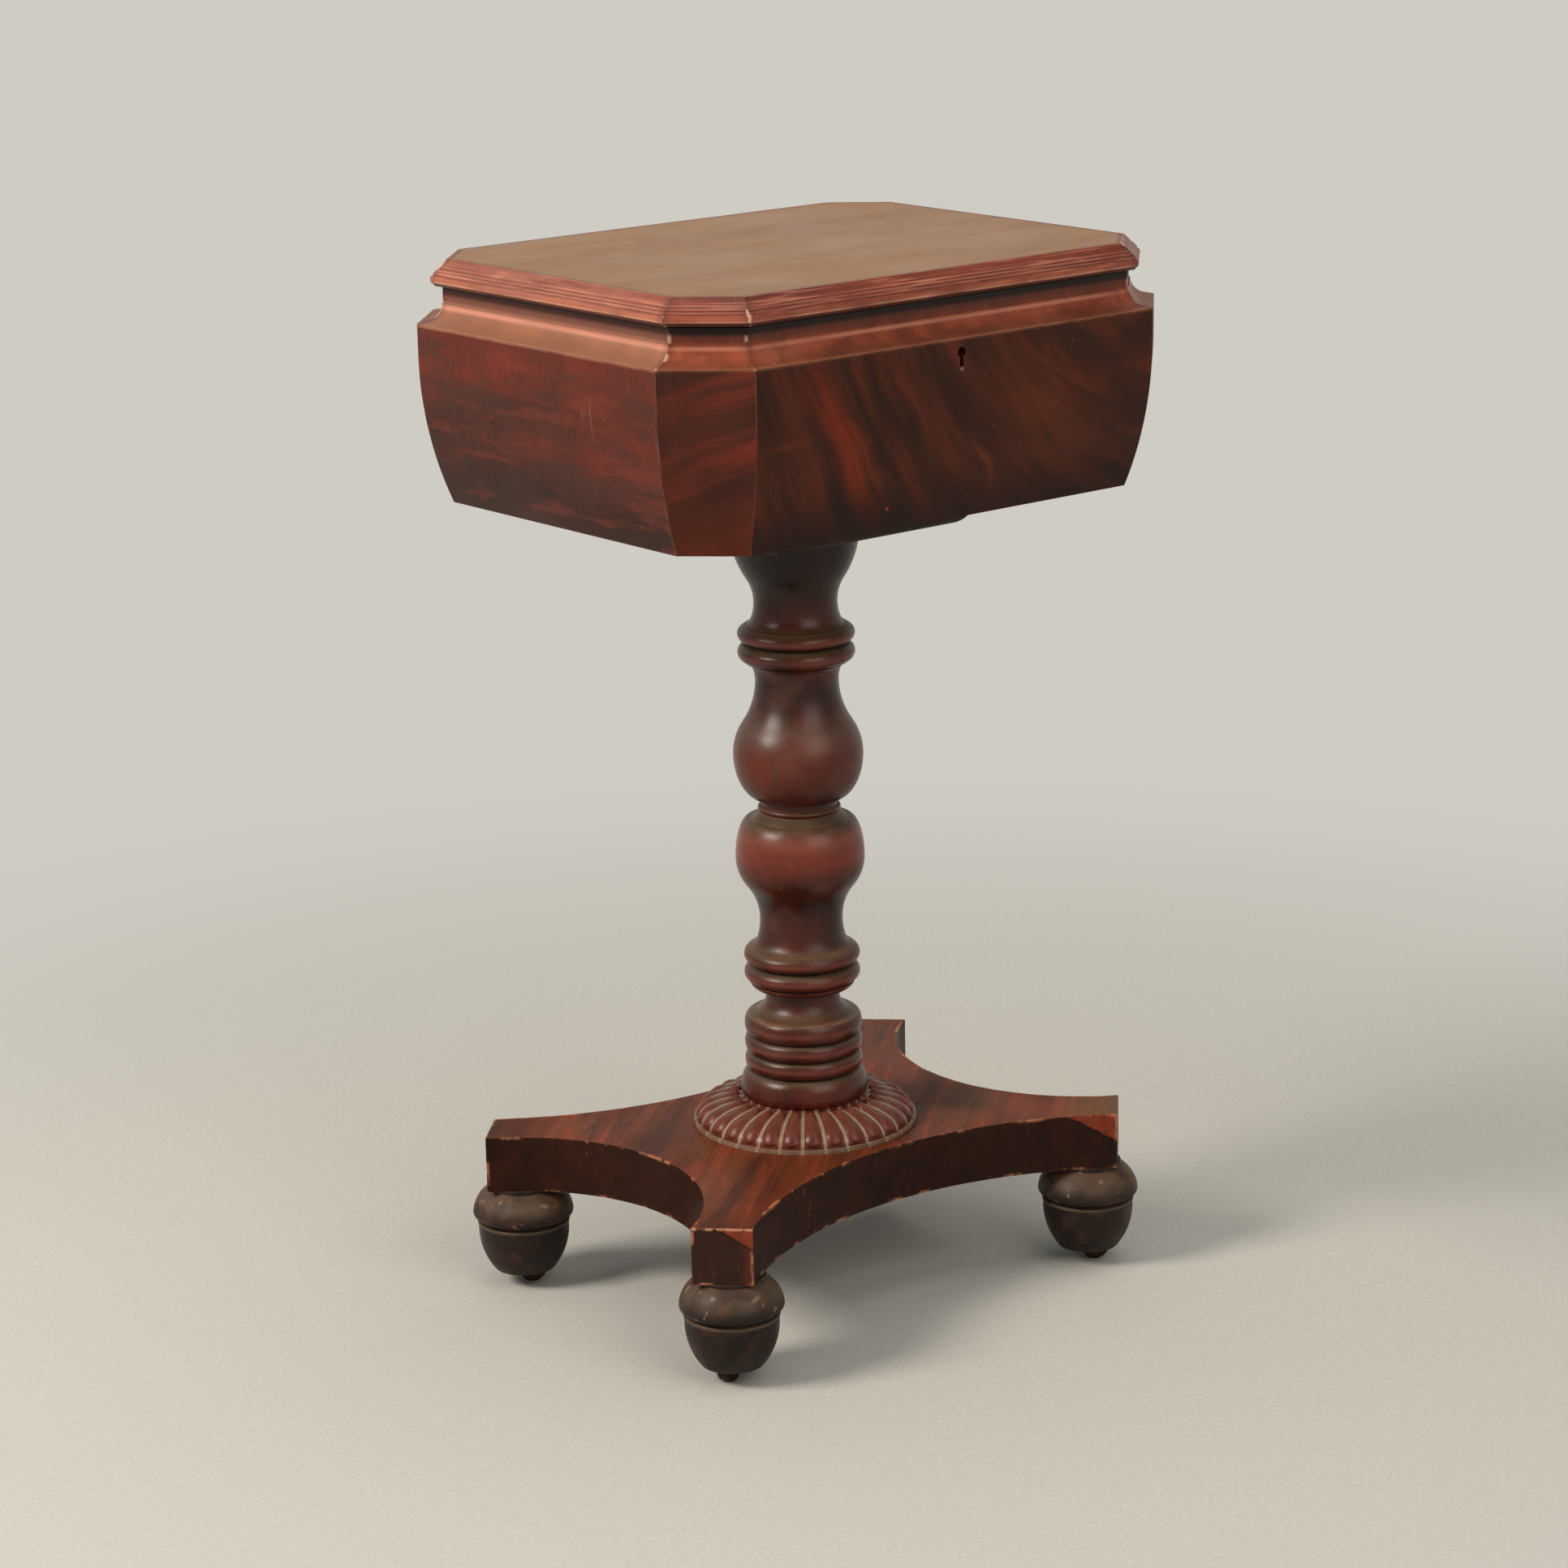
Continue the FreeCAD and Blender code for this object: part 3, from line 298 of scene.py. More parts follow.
class Finish:
    """One material in the making: its colour, roughness and height gather step by step."""

    def __init__(self, name, **constants):
        self.material = bpy.data.materials.new(name)
        self.material.use_nodes = True
        self.sheet = Sheet(self.material.node_tree)
        self.shader = self.material.node_tree.nodes["Principled BSDF"]
        for title, value in constants.items():
            self.shader.inputs[title.replace("_", " ")].default_value = value
        self.place = self.sheet.put("ShaderNodeTexCoord").outputs["Object"]
        self.x, self.y, self.z = self.sheet.parts(self.place)
        self.colour = None
        self.rough = 0.4
        self.height = 0.0

    # Ground colour

    def timber(self, tones, grain, fibre=0.3, pore=0.4):
        """Plain mahogany in tones from dark to light, with the grain turned to run along x."""
        along = self.sheet.stretch(self.place, (1, 1, 1), turn=grain)
        wood = self.sheet.effect(timber_effect, Vector=along)
        dark, middle, light = tones
        self.colour = self.sheet.ramp(wood["Ribbons"], [(0.25, dark), (0.5, middle), (0.8, light)])
        self.tint(wood["Fibres"], dark, fibre)
        self.tint(wood["Pores"], pore_tone, pore)
        self.raised(wood["Pores"], -0.25)
        self.raised(wood["Fibres"], 0.08)

    def front_face(self):
        return self.x, self.z, self.y

    def side_face(self):
        return self.sheet.maths("MULTIPLY", self.y, -1.0), self.z, self.x

    def cant_face(self):
        along = self.sheet.times(self.sheet.maths("SUBTRACT", self.x, self.y), math.sqrt(0.5))
        return along, self.z, self.sheet.times(self.sheet.plus(self.x, self.y), math.sqrt(0.5))

    def figure(self, face, centre, stops, share):
        """Streaks that bend round a centre, given in the face's own plane."""
        away = self.sheet.stretch(self.sheet.vector(*face), (1, 1, 1), shift=(-centre[0], -centre[1], 0))
        radius = math.hypot(centre[0], centre[1] - (wall_low.z + wall_high.z) / 2)
        grown = self.sheet.effect(flame_effect, Vector=away, Radius=radius)
        quiet = self.sheet.spread(self.sheet.noise(self.place, 9.0, 1.0), 0.35, 0.62, 0.35, 1.0)
        self.tint(quiet, self.sheet.ramp(grown["Flame"], stops), share)
        return grown["Fray"]

    # Steps that any finish may take

    def tint(self, mask, tone, strength=1.0):
        self.colour = self.sheet.blend(self.sheet.times(mask, strength), self.colour, tone)

    def roughened(self, mask, amount):
        self.rough = self.sheet.plus(self.rough, self.sheet.times(mask, amount))

    def raised(self, mask, amount):
        self.height = self.sheet.plus(self.sheet.times(mask, amount), self.height)

    def clouds(self, scale, tone, strength, low=0.45, high=0.65):
        self.tint(self.sheet.spread(self.sheet.noise(self.place, scale, 3.0), low, high), tone, strength)

    def streaks(self, close, light, dark, strength):
        """Fine lines, some pale and some dark. The three numbers say how close they lie along x, y and z."""
        lines = self.sheet.noise(self.sheet.stretch(self.place, close), 1.0, 3.0, 0.3, 0.6)
        self.tint(self.sheet.spread(lines, 0.52, 0.66), light, strength)
        self.tint(self.sheet.spread(lines, 0.48, 0.34), dark, strength)

    def facing_up(self, low, high):
        """Spreads how far the surface faces up: the rise of its normal is 1 on a level top and -1 underneath."""
        upward = self.sheet.parts(self.sheet.put("ShaderNodeTexCoord").outputs["Normal"])[2]
        return self.sheet.spread(upward, low, high)

    def gloss(self, low, high, scale=9.0):
        self.rough = self.sheet.spread(self.sheet.noise(self.place, scale, 3.0), 0.3, 0.7, low, high)

    def rubbed(self, tone, amount, reach=0.0016, sparse=0.0):
        worn = self.sheet.effect(edge_effect, Vector=self.place, Reach=reach, Amount=amount, Sparse=sparse)["Wear"]
        self.tint(worn, tone)
        self.roughened(worn, 0.2)

    # Darkens hollows and corners: dirt, and painted shade where shade falls.
    def dirty_and_shaded(self, tone, amount, depth=0.006):
        dirt_and_shade = self.sheet.effect(dirt_and_shade_effect, Vector=self.place, Depth=depth, Amount=amount)["Dirt"]
        self.tint(dirt_and_shade, tone)
        self.roughened(dirt_and_shade, 0.25)

    def dusty(self, tone, amount, start=0.3):
        dust = self.sheet.effect(dust_effect, Vector=self.place, From=start, Amount=amount)["Dust"]
        self.tint(dust, tone)
        self.roughened(dust, 0.2)

    def knocked(self, tone, amount):
        knock = self.sheet.effect(knock_effect, Vector=self.place, Amount=amount)
        self.tint(knock["Marks"], tone)
        self.raised(knock["Height"], 1.0)

    def flecks(self, face, tone, strength):
        """Fine upright flecks across the streaks, where the curl of the wood turns its pores to the front."""
        dashes = self.sheet.noise(self.sheet.stretch(self.sheet.vector(*face), (320, 55, 60)), 1.0, 3.0, 0.3)
        where = self.sheet.spread(self.sheet.noise(self.place, 14.0, 2.0), 0.3, 0.6, 0.3, 1.0)
        self.tint(self.sheet.times(self.sheet.spread(dashes, 0.5, 0.68), where), tone, strength)

    def stroke(self, face, start, end, half, tone, strength, fray=None, wander=0.01):
        """One stroke between two points of a face, as a strong streak of the figure, a scratch, a nick or a painted
        glint.
        """
        sheet = self.sheet
        reach = math.dist(start, end)
        run_x, run_y = (end[0] - start[0]) / reach, (end[1] - start[1]) / reach
        along = sheet.plus(sheet.times(face[0], run_x), sheet.times(face[1], run_y),
                           -(start[0] * run_x + start[1] * run_y))
        aside = sheet.plus(sheet.times(face[0], run_y), sheet.times(face[1], -run_x),
                           -(start[0] * run_y - start[1] * run_x))
        sway = sheet.maths("SUBTRACT", sheet.noise(self.place, 22.0, 2.0), 0.5)
        aside = sheet.plus(aside, sheet.times(sway, wander))
        ends = sheet.near(along, reach / 2, reach / 2 + half)
        mask = sheet.times(sheet.near(aside, 0.0, half), ends)
        self.tint(mask if fray is None else sheet.times(mask, fray), tone, strength)

    def nicked_mitres(self, tone, strength):
        """Dirt and pale nicks along the sharp mitres where the canted corners meet the sides."""
        sheet = self.sheet
        wide, deep = (sheet.maths("ABSOLUTE", value) for value in (self.x, self.y))
        dark_reach, nick_reach = 0.0065, 0.0024
        for corner, (run, climb) in (((lid_high.x - lid_leg, lid_high.y), (mitre_lean, mitre_rise)),
                                     ((lid_high.x, lid_high.y - lid_leg), (mitre_rise, mitre_lean))):
            aside = sheet.plus(sheet.times(wide, climb), sheet.times(deep, -run),
                               corner[1] * run - corner[0] * climb)
            spots = sheet.spread(sheet.noise(self.place, 110.0, 2.0), 0.52, 0.60)
            self.tint(sheet.near(aside, 0.0, dark_reach), paint(70, 34, 26), 0.45)
            self.tint(sheet.times(sheet.near(aside, 0.0, nick_reach), spots), tone, strength)

    def lit_patch(self, fall, where):
        """A painted patch of light on a corner, down to the line where the fall is nothing, with a painted shadow
        edge below it.
        """
        sheet = self.sheet
        waver, ragged, shadow_edge_middle, shadow_edge_half = 0.006, (0.0010, -0.0008), 0.0014, 0.0013
        uneven = sheet.noise(self.place, 130.0, 3.0)
        fall = sheet.plus(fall, sheet.times(sheet.maths("SUBTRACT", uneven, 0.5), waver))
        patchy_light = sheet.spread(uneven, 0.3, 0.6, 0.55, 1.0)
        self.tint(sheet.times(sheet.spread(fall, *ragged), where, patchy_light), paint(140, 60, 38), 0.7)
        self.tint(sheet.times(sheet.near(fall, shadow_edge_middle, shadow_edge_half), where), paint(22, 8, 4), 0.6)

    def level(self, middle, half, tone, strength, scale=40.0):
        """A line or band that runs level round the piece, broken by patches."""
        patches = self.sheet.spread(self.sheet.noise(self.place, scale, 3.0), 0.3, 0.6, 0.3, 1.0)
        self.tint(self.sheet.times(self.sheet.near(self.z, middle, half), patches), tone, strength)

    def top_arris(self, tone, strength):
        """The line along a wall's top edge, rubbed by the cloth."""
        self.level(wall_high.z - 0.0006, half=0.0012, tone=tone, strength=strength)

    def done(self, bump=0.35, depth=0.0004):
        bumped = self.sheet.put("ShaderNodeBump", {"Height": self.height, "Strength": bump, "Distance": depth})
        self.sheet.join(self.colour, self.shader.inputs["Base Color"])
        self.sheet.join(self.rough, self.shader.inputs["Roughness"])
        self.sheet.join(bumped.outputs["Normal"], self.shader.inputs["Normal"])
        return self.material


# Finishes of the lid

def top_veneer():
    """Satin tan mahogany, bleached by light, with a dark line at the edge moulding and a red-brown underside."""
    top = Finish("waxed top veneer", IOR=polish_ior, Specular_IOR_Level=0.25)
    top.timber((paint(119, 84, 54), paint(133, 96, 62), paint(142, 104, 70)), along_x, fibre=0.25, pore=0.3)
    top.clouds(5.0, paint(128, 102, 66), strength=0.25)
    top.streaks((18, 420, 420), paint(156, 118, 84), paint(112, 80, 52), strength=0.25)
    top.gloss(0.34, 0.46)
    sheet = top.sheet
    wide, deep = (sheet.maths("ABSOLUTE", value) for value in (top.x, top.y))
    cant = sheet.times(sheet.plus(wide, deep, -(lid_high.x + lid_high.y - lid_leg)), math.sqrt(0.5))
    edge = sheet.maths("MAXIMUM", sheet.plus(wide, -lid_high.x), sheet.plus(deep, -lid_high.y))
    edge = sheet.maths("MAXIMUM", edge, cant)
    line_start, line_end = -0.0035, -0.0005
    top.tint(sheet.spread(edge, line_start, line_end), paint(70, 34, 22), 0.7)
    top.tint(top.facing_up(0.2, -0.2), paint(104, 54, 34), 0.9)
    top.rubbed(rubbed_tone, amount=0.4)
    top.knocked(paint(168, 134, 100), amount=0.3)
    return top.done(bump=0.25)


def edge_moulding(name, grain, lit_side):
    """Red-brown reeds with dirt and painted shade between them and painted highlights on their crests; a nose partly
    rubbed pale, with a painted highlight on it and painted shade beneath; painted light brightens one side.
    """
    edge = Finish(name, IOR=polish_ior, Specular_IOR_Level=0.35)
    edge.timber((paint(86, 34, 21), paint(124, 55, 36), paint(148, 76, 52)), grain, fibre=0.5, pore=0.3)
    edge.gloss(0.30, 0.42)
    # Painted light brightens the side that faces the key light.
    edge.tint(lit_side, paint(160, 106, 88), 0.5)
    edge.streaks((18, 18, 420), paint(190, 116, 94), paint(92, 32, 20), strength=0.5)
    edge.clouds(26.0, paint(116, 52, 42), strength=0.35)
    line_half, crest_rise = 0.0008, 0.0012
    belly, highlight, nose_shade_top = nose_low + 0.0046, nose_low + 0.0031, nose_low + 0.0021
    # Painted shade in each hollow between the reeds, and a painted highlight on the crest above it.
    for drop in reed_drops:
        edge.level(lid_high.z - drop, half=line_half, tone=paint(60, 22, 14), strength=0.45)
        edge.level(lid_high.z - drop + crest_rise, half=line_half, tone=paint(200, 128, 100), strength=0.35)
    # Painted highlight on the nose, partly also wear: a broad lit band on its belly and a bright line below it.
    edge.level(belly, half=0.0034, tone=paint(172, 96, 66), strength=0.5)
    edge.level(highlight, half=0.0012, tone=paint(226, 172, 146), strength=0.5)
    edge.dirty_and_shaded(shade_tone, amount=1.0, depth=0.003)
    edge.rubbed(paint(176, 110, 84), amount=0.4, reach=0.0009)
    # Painted shade on the underside of the nose.
    edge.tint(edge.sheet.spread(edge.z, nose_shade_top, nose_low + 0.0012), paint(56, 27, 18), 0.85)
    edge.nicked_mitres(paint(236, 196, 170), strength=0.55)
    return edge.done()


# Finishes of the chest

def neck_moulding(name, lit_side):
    """Cross-grained cavetto with painted shade under the lid, a painted highlight along its lip, and painted light on
    the face of one side.
    """
    neck = Finish(name, IOR=polish_ior, Specular_IOR_Level=0.24)
    neck.timber((paint(114, 50, 30), paint(148, 72, 46), paint(164, 90, 62)), along_z, fibre=0.2, pore=0.25)
    neck.clouds(30.0, paint(94, 32, 19), strength=0.45)
    neck.clouds(60.0, paint(84, 44, 32), strength=0.4, low=0.5, high=0.64)
    neck.gloss(0.32, 0.44)
    sheet = neck.sheet
    lid_shade_low, lid_shade_high = lip_level - 0.0030, lip_level + 0.0034
    shadow_low, shadow_high = lip_level + 0.0040, lip_level + 0.0076
    foot_of_face = sheet.spread(neck.z, neck_low + 0.008, neck_low)
    highlight_below_lip = sheet.spread(neck.z, lip_level - 0.006, lip_level - 0.001)
    neck.tint(foot_of_face, paint(88, 56, 42), 0.55)
    # Painted light on the lit side, with a painted highlight on its upper face below the lip.
    neck.tint(lit_side, paint(146, 106, 82), 0.6)
    neck.tint(sheet.times(lit_side, highlight_below_lip), paint(204, 138, 116), 0.65)
    neck.level(neck_low + 0.0006, half=0.0010, tone=paint(150, 104, 74), strength=0.4)
    neck.rubbed(paint(176, 112, 82), amount=0.3, reach=0.0009)
    neck.dirty_and_shaded(shade_tone, amount=0.5, depth=0.004)
    # Painted shade on the upright band under the lid's overhang.
    neck.tint(sheet.spread(neck.z, lid_shade_low, lid_shade_high), paint(72, 34, 24), 0.8)
    # Painted highlight along the lip.
    neck.level(lip_level - 0.0026, half=0.0022, tone=paint(206, 140, 116), strength=0.55, scale=16.0)
    neck.nicked_mitres(paint(226, 186, 158), strength=0.45)
    shadow = sheet.times(sheet.spread(neck.z, shadow_low, shadow_high), neck.facing_up(0.7, 0.3))
    neck.tint(shadow, paint(50, 15, 7) if lit_side else paint(20, 7, 4), 0.97)
    return neck.done()


# Streaks of the front's figure: from and to in x and z, half width, tone, strength and wander
front_streaks = (
    ((-0.132, 0.706), (-0.066, 0.592), 0.018, paint(122, 43, 20), 0.8, 0.012),
    ((-0.100, 0.660), (-0.060, 0.610), 0.012, paint(112, 50, 24), 0.5, 0.02),
    ((-0.052, 0.690), (-0.008, 0.632), 0.010, paint(86, 40, 24), 0.5, 0.02),
    ((0.012, 0.700), (0.122, 0.610), 0.036, paint(96, 44, 21), 0.7, 0.015),
    ((0.050, 0.702), (0.150, 0.640), 0.014, paint(108, 46, 26), 0.5, 0.02),
    ((0.006, 0.640), (0.040, 0.596), 0.007, paint(120, 56, 30), 0.5, 0.02),
)

# Scratches in the side walls: where across the wall, then their top and their bottom
side_scratches = ((0.061, 0.690, 0.640), (0.052, 0.672, 0.664), (0.075, 0.669, 0.6665))


def front_veneer():
    """Dark flame veneer: red streaks fall to the right and fan out, with a painted glint at the keyhole's end."""
    wall = Finish("flame veneer of the front", IOR=polish_ior, Specular_IOR_Level=veneer_mirror)
    wall.timber((paint(40, 20, 12), paint(54, 26, 16), paint(66, 32, 20)), along_z, fibre=0.3, pore=0.4)
    face = wall.front_face()
    stops = [(0.15, paint(43, 22, 13)), (0.5, paint(66, 31, 19)), (0.95, paint(102, 42, 24))]
    fray = wall.figure(face, centre=(0.236, 0.844), stops=stops, share=0.75)
    for start, end, half, tone, strength, wander in front_streaks:
        wall.stroke(face, start, end, half=half, tone=tone, strength=strength, fray=fray, wander=wander)
    wall.stroke(face, (-0.172, 0.652), (-0.120, 0.656), half=0.004, tone=paint(96, 46, 26), strength=0.5, fray=None,
                wander=0.006)
    bottom_shade = wall.sheet.spread(wall.z, wall_low.z + 0.045, wall_low.z)
    wall.tint(bottom_shade, paint(18, 9, 6), 0.65)
    wall.gloss(0.36, 0.48)
    front_only = wall.sheet.spread(wall.y, 0.01, -0.01)
    nick_start, nick_end = (-0.0555, 0.5985), (-0.0545, 0.5975)
    wall.stroke(face, nick_start, nick_end, half=0.0015, tone=paint(196, 54, 36), strength=0.9, fray=front_only,
                wander=0.0)
    # Painted glint just below the keyhole's end.
    glint_start, glint_end = (-0.0008, keyhole_end - 0.0018), (0.0008, keyhole_end - 0.0016)
    wall.stroke(face, glint_start, glint_end, half=0.0016, tone=paint(176, 130, 112), strength=0.7, fray=front_only,
                wander=0.0)
    wall.top_arris(paint(120, 76, 56), strength=0.3)
    wall.rubbed(paint(118, 74, 56), amount=0.3, reach=0.0014)
    wall.knocked(paint(128, 84, 62), amount=0.35)
    return wall.done()


def side_veneer():
    """Red-brown veneer with level streaks, darker and greyer towards the bottom, scratched in the middle."""
    wall = Finish("flame veneer of the sides", IOR=polish_ior, Specular_IOR_Level=veneer_mirror)
    wall.timber((paint(54, 28, 20), paint(78, 36, 26), paint(94, 42, 31)), along_z, fibre=0.35, pore=0.4)
    face = wall.side_face()
    stops = [(0.15, paint(50, 31, 25)), (0.5, paint(78, 38, 29)), (0.9, paint(110, 43, 32))]
    fray = wall.figure(face, centre=(0.10, -0.85), stops=stops, share=0.65)
    upper_half = wall.sheet.spread(wall.z, side_high.z - 0.075, side_high.z - 0.01)
    lower_half = wall.sheet.spread(wall.z, side_low.z + 0.075, side_low.z + 0.01)
    wall.tint(upper_half, paint(108, 40, 27), 0.4)
    wall.tint(lower_half, paint(38, 24, 19), 0.7)
    wall.stroke(face, (-0.14, 0.650), (0.11, 0.668), half=0.020, tone=paint(46, 30, 24), strength=0.7, fray=fray,
                wander=0.02)
    wall.stroke(face, (-0.14, 0.600), (0.05, 0.610), half=0.022, tone=paint(46, 30, 24), strength=0.6, fray=fray,
                wander=0.03)
    wall.clouds(22.0, paint(62, 42, 36), strength=0.3, low=0.48, high=0.64)
    wall.streaks((20, 14, 75), paint(112, 48, 36), paint(60, 40, 34), strength=0.4)
    wall.gloss(0.36, 0.48)
    wall.flecks(face, paint(36, 19, 14), strength=0.3)
    for across, high, low in side_scratches:
        wall.stroke(face, (across, high), (across + 0.002, low), half=0.0008, tone=paint(150, 116, 98), strength=0.32,
                    fray=None, wander=0.002)
    wall.top_arris(paint(170, 112, 90), strength=0.45)
    wall.rubbed(paint(130, 98, 84), amount=0.75, reach=0.0015)
    wall.knocked(paint(150, 108, 86), amount=0.5)
    return wall.done()


def cant_veneer():
    """The canted corners: dark and red bands that rise to the right, warmer towards the bottom."""
    cant = Finish("flame veneer of the cants", IOR=polish_ior, Specular_IOR_Level=veneer_mirror)
    cant.timber((paint(46, 24, 18), paint(62, 30, 21), paint(78, 34, 23)), along_z, fibre=0.3, pore=0.35)
    face = cant.cant_face()
    stops = [(0.2, paint(50, 28, 22)), (0.5, paint(74, 35, 26)), (0.9, paint(110, 43, 30))]
    cant.figure(face, centre=(0.136, 0.175), stops=stops, share=0.8)
    lower_half = cant.sheet.spread(cant.z, wall_low.z + 0.06, wall_low.z + 0.01)
    cant.tint(lower_half, paint(92, 38, 20), 0.5)
    cant.gloss(0.36, 0.48)
    cant.top_arris(paint(130, 82, 62), strength=0.3)
    cant.rubbed(paint(130, 94, 80), amount=0.4, reach=0.0015)
    cant.knocked(paint(130, 88, 68), amount=0.4)
    return cant.done()


def boards():
    """Bearer and bottom board, hardly polished."""
    wood = Finish("bearer and bottom board", IOR=polish_ior, Specular_IOR_Level=0.22)
    wood.timber((paint(28, 14, 10), paint(38, 19, 13), paint(48, 24, 17)), along_x, fibre=0.3, pore=0.4)
    wood.gloss(0.5, 0.68)
    wood.rubbed(paint(120, 80, 60), amount=0.4)
    wood.dirty_and_shaded(shade_tone, amount=0.6)
    return wood.done()


def inner_timber(name, grain):
    """Clean unpolished mahogany of the wells and caddies."""
    wood = Finish(name, IOR=polish_ior)
    wood.timber((paint(96, 52, 34), paint(120, 70, 46), paint(140, 88, 60)), grain, fibre=0.3, pore=0.4)
    wood.gloss(0.5, 0.65)
    wood.dirty_and_shaded(shade_tone, amount=0.5)
    wood.rubbed(rubbed_tone, amount=0.3)
    return wood.done()


# Finishes of the stand

# Bands of painted light and shade up the column: share of its height, half width, tone and strength. The red bands at
# 0.600 and 0.445 brighten the swells with painted light, the pale ones at 0.650 and 0.470 are painted highlights on
# them, the dark ones at 0.350, 0.725 and 0.500 are painted shade under the swells and rings and in a crease, and the
# one at 0.965 is the chest's painted shadow.
column_light_and_shade = (
    (0.600, 0.030, paint(108, 42, 27), 0.4),
    (0.445, 0.022, paint(138, 58, 40), 0.5),
    (0.350, 0.018, paint(26, 13, 9), 0.6),
    (0.725, 0.028, paint(24, 15, 10), 0.8),
    (0.500, 0.004, paint(20, 12, 8), 0.7),
    (0.965, 0.050, paint(10, 5, 3), 0.95),
    (0.650, 0.020, paint(126, 92, 80), 0.22),
    (0.470, 0.010, paint(150, 92, 72), 0.3),
)

# Shares of the column's height at which its ring crests get a painted highlight, its rims catch the light and its
# grooves lie, which get dust and painted shade
lit_ring_crests = (0.0625, 0.0935, 0.1270, 0.2180, 0.2500, 0.7810, 0.8125)
bright_rims = (0.1445, 0.2660, 0.8275)
ring_grooves = (0.048, 0.079, 0.110, 0.236, 0.799)


def turned_column():
    """Dark polish with red swells brightened by painted light, painted highlights on the rings, painted shade in the
    grooves and the chest's painted shadow at the top; dust lies grey on every ring and shoulder.
    """
    post = Finish("turned column", IOR=polish_ior, Specular_IOR_Level=0.29)
    post.timber((paint(44, 15, 9), paint(72, 23, 13), paint(100, 36, 20)), along_z, fibre=0.25, pore=0.3)
    post.clouds(18.0, paint(38, 17, 11), strength=0.55, low=0.44, high=0.62)
    for share, half, tone, strength in column_light_and_shade:
        post.level(along_column(share), half=half, tone=tone, strength=strength, scale=16.0)
    post.clouds(34.0, paint(100, 66, 54), strength=0.25, low=0.5, high=0.66)
    post.gloss(0.24, 0.36)
    # Rubbed edges: wear, and also a painted highlight along the ring crests.
    post.rubbed(paint(142, 62, 40), amount=0.7, reach=0.0026)
    # Painted shadow of the chest on the column's top.
    chest_shadow = post.sheet.spread(post.z, along_column(0.81), along_column(0.93))
    post.tint(chest_shadow, paint(16, 6, 3), 0.85)
    post.flecks((post.x, post.z, post.y), paint(36, 18, 12), strength=0.18)
    # Painted highlights along the ring crests.
    for crest in lit_ring_crests:
        post.level(along_column(crest), half=0.0030, tone=paint(132, 68, 52), strength=0.35)
    for rim in bright_rims:
        post.level(along_column(rim), half=0.0011, tone=paint(176, 128, 98), strength=0.45)
    # Grey-brown dust in each groove, with painted shade at its bottom.
    for groove in ring_grooves:
        post.level(along_column(groove), half=0.0046, tone=paint(42, 31, 23), strength=0.6)
        post.level(along_column(groove), half=0.0022, tone=paint(16, 9, 6), strength=0.9)
    post.dirty_and_shaded(paint(18, 10, 7), amount=0.95, depth=0.010)
    post.dusty(paint(92, 76, 56), amount=0.6, start=0.3)
    post.knocked(rubbed_tone, amount=0.35)
    return post.done()


def carved_collar():
    """Dark red lobes with pale wax left in the grooves between them."""
    collar = Finish("gadrooned collar", IOR=polish_ior, Specular_IOR_Level=0.3)
    collar.timber((paint(66, 24, 16), paint(96, 36, 24), paint(114, 46, 31)), along_x, fibre=0.25, pore=0.3)
    sheet = collar.sheet
    turn = sheet.plus(sheet.maths("ARCTAN2", collar.y, collar.x), math.radians(720 - first_groove_degrees))
    pitch = 2 * math.pi / lobe_count
    part = sheet.maths("FRACT", sheet.maths("DIVIDE", turn, pitch))
    groove = sheet.maths("MINIMUM", part, sheet.maths("SUBTRACT", 1.0, part))
    out = sheet.put("ShaderNodeVectorMath", {0: sheet.vector(collar.x, collar.y, 0.0)}, operation="LENGTH")
    off = sheet.times(groove, out.outputs["Value"], pitch)
    collar.gloss(0.32, 0.44)
    uneven = sheet.spread(sheet.noise(collar.place, 160.0, 3.0), 0.3, 0.6, 0.55, 1.0)
    in_groove = sheet.spread(off, 0.0018, 0.0006)
    collar.tint(sheet.times(in_groove, uneven), wax, 0.8)
    rim = sheet.spread(out.outputs["Value"], collar_high.x - 0.0022, collar_high.x - 0.0008)
    collar.tint(sheet.times(rim, uneven), wax, 0.45)
    collar.dusty(dust_tone, amount=0.25, start=0.5)
    collar.dirty_and_shaded(shade_tone, amount=0.5, depth=0.003)
    return collar.done()


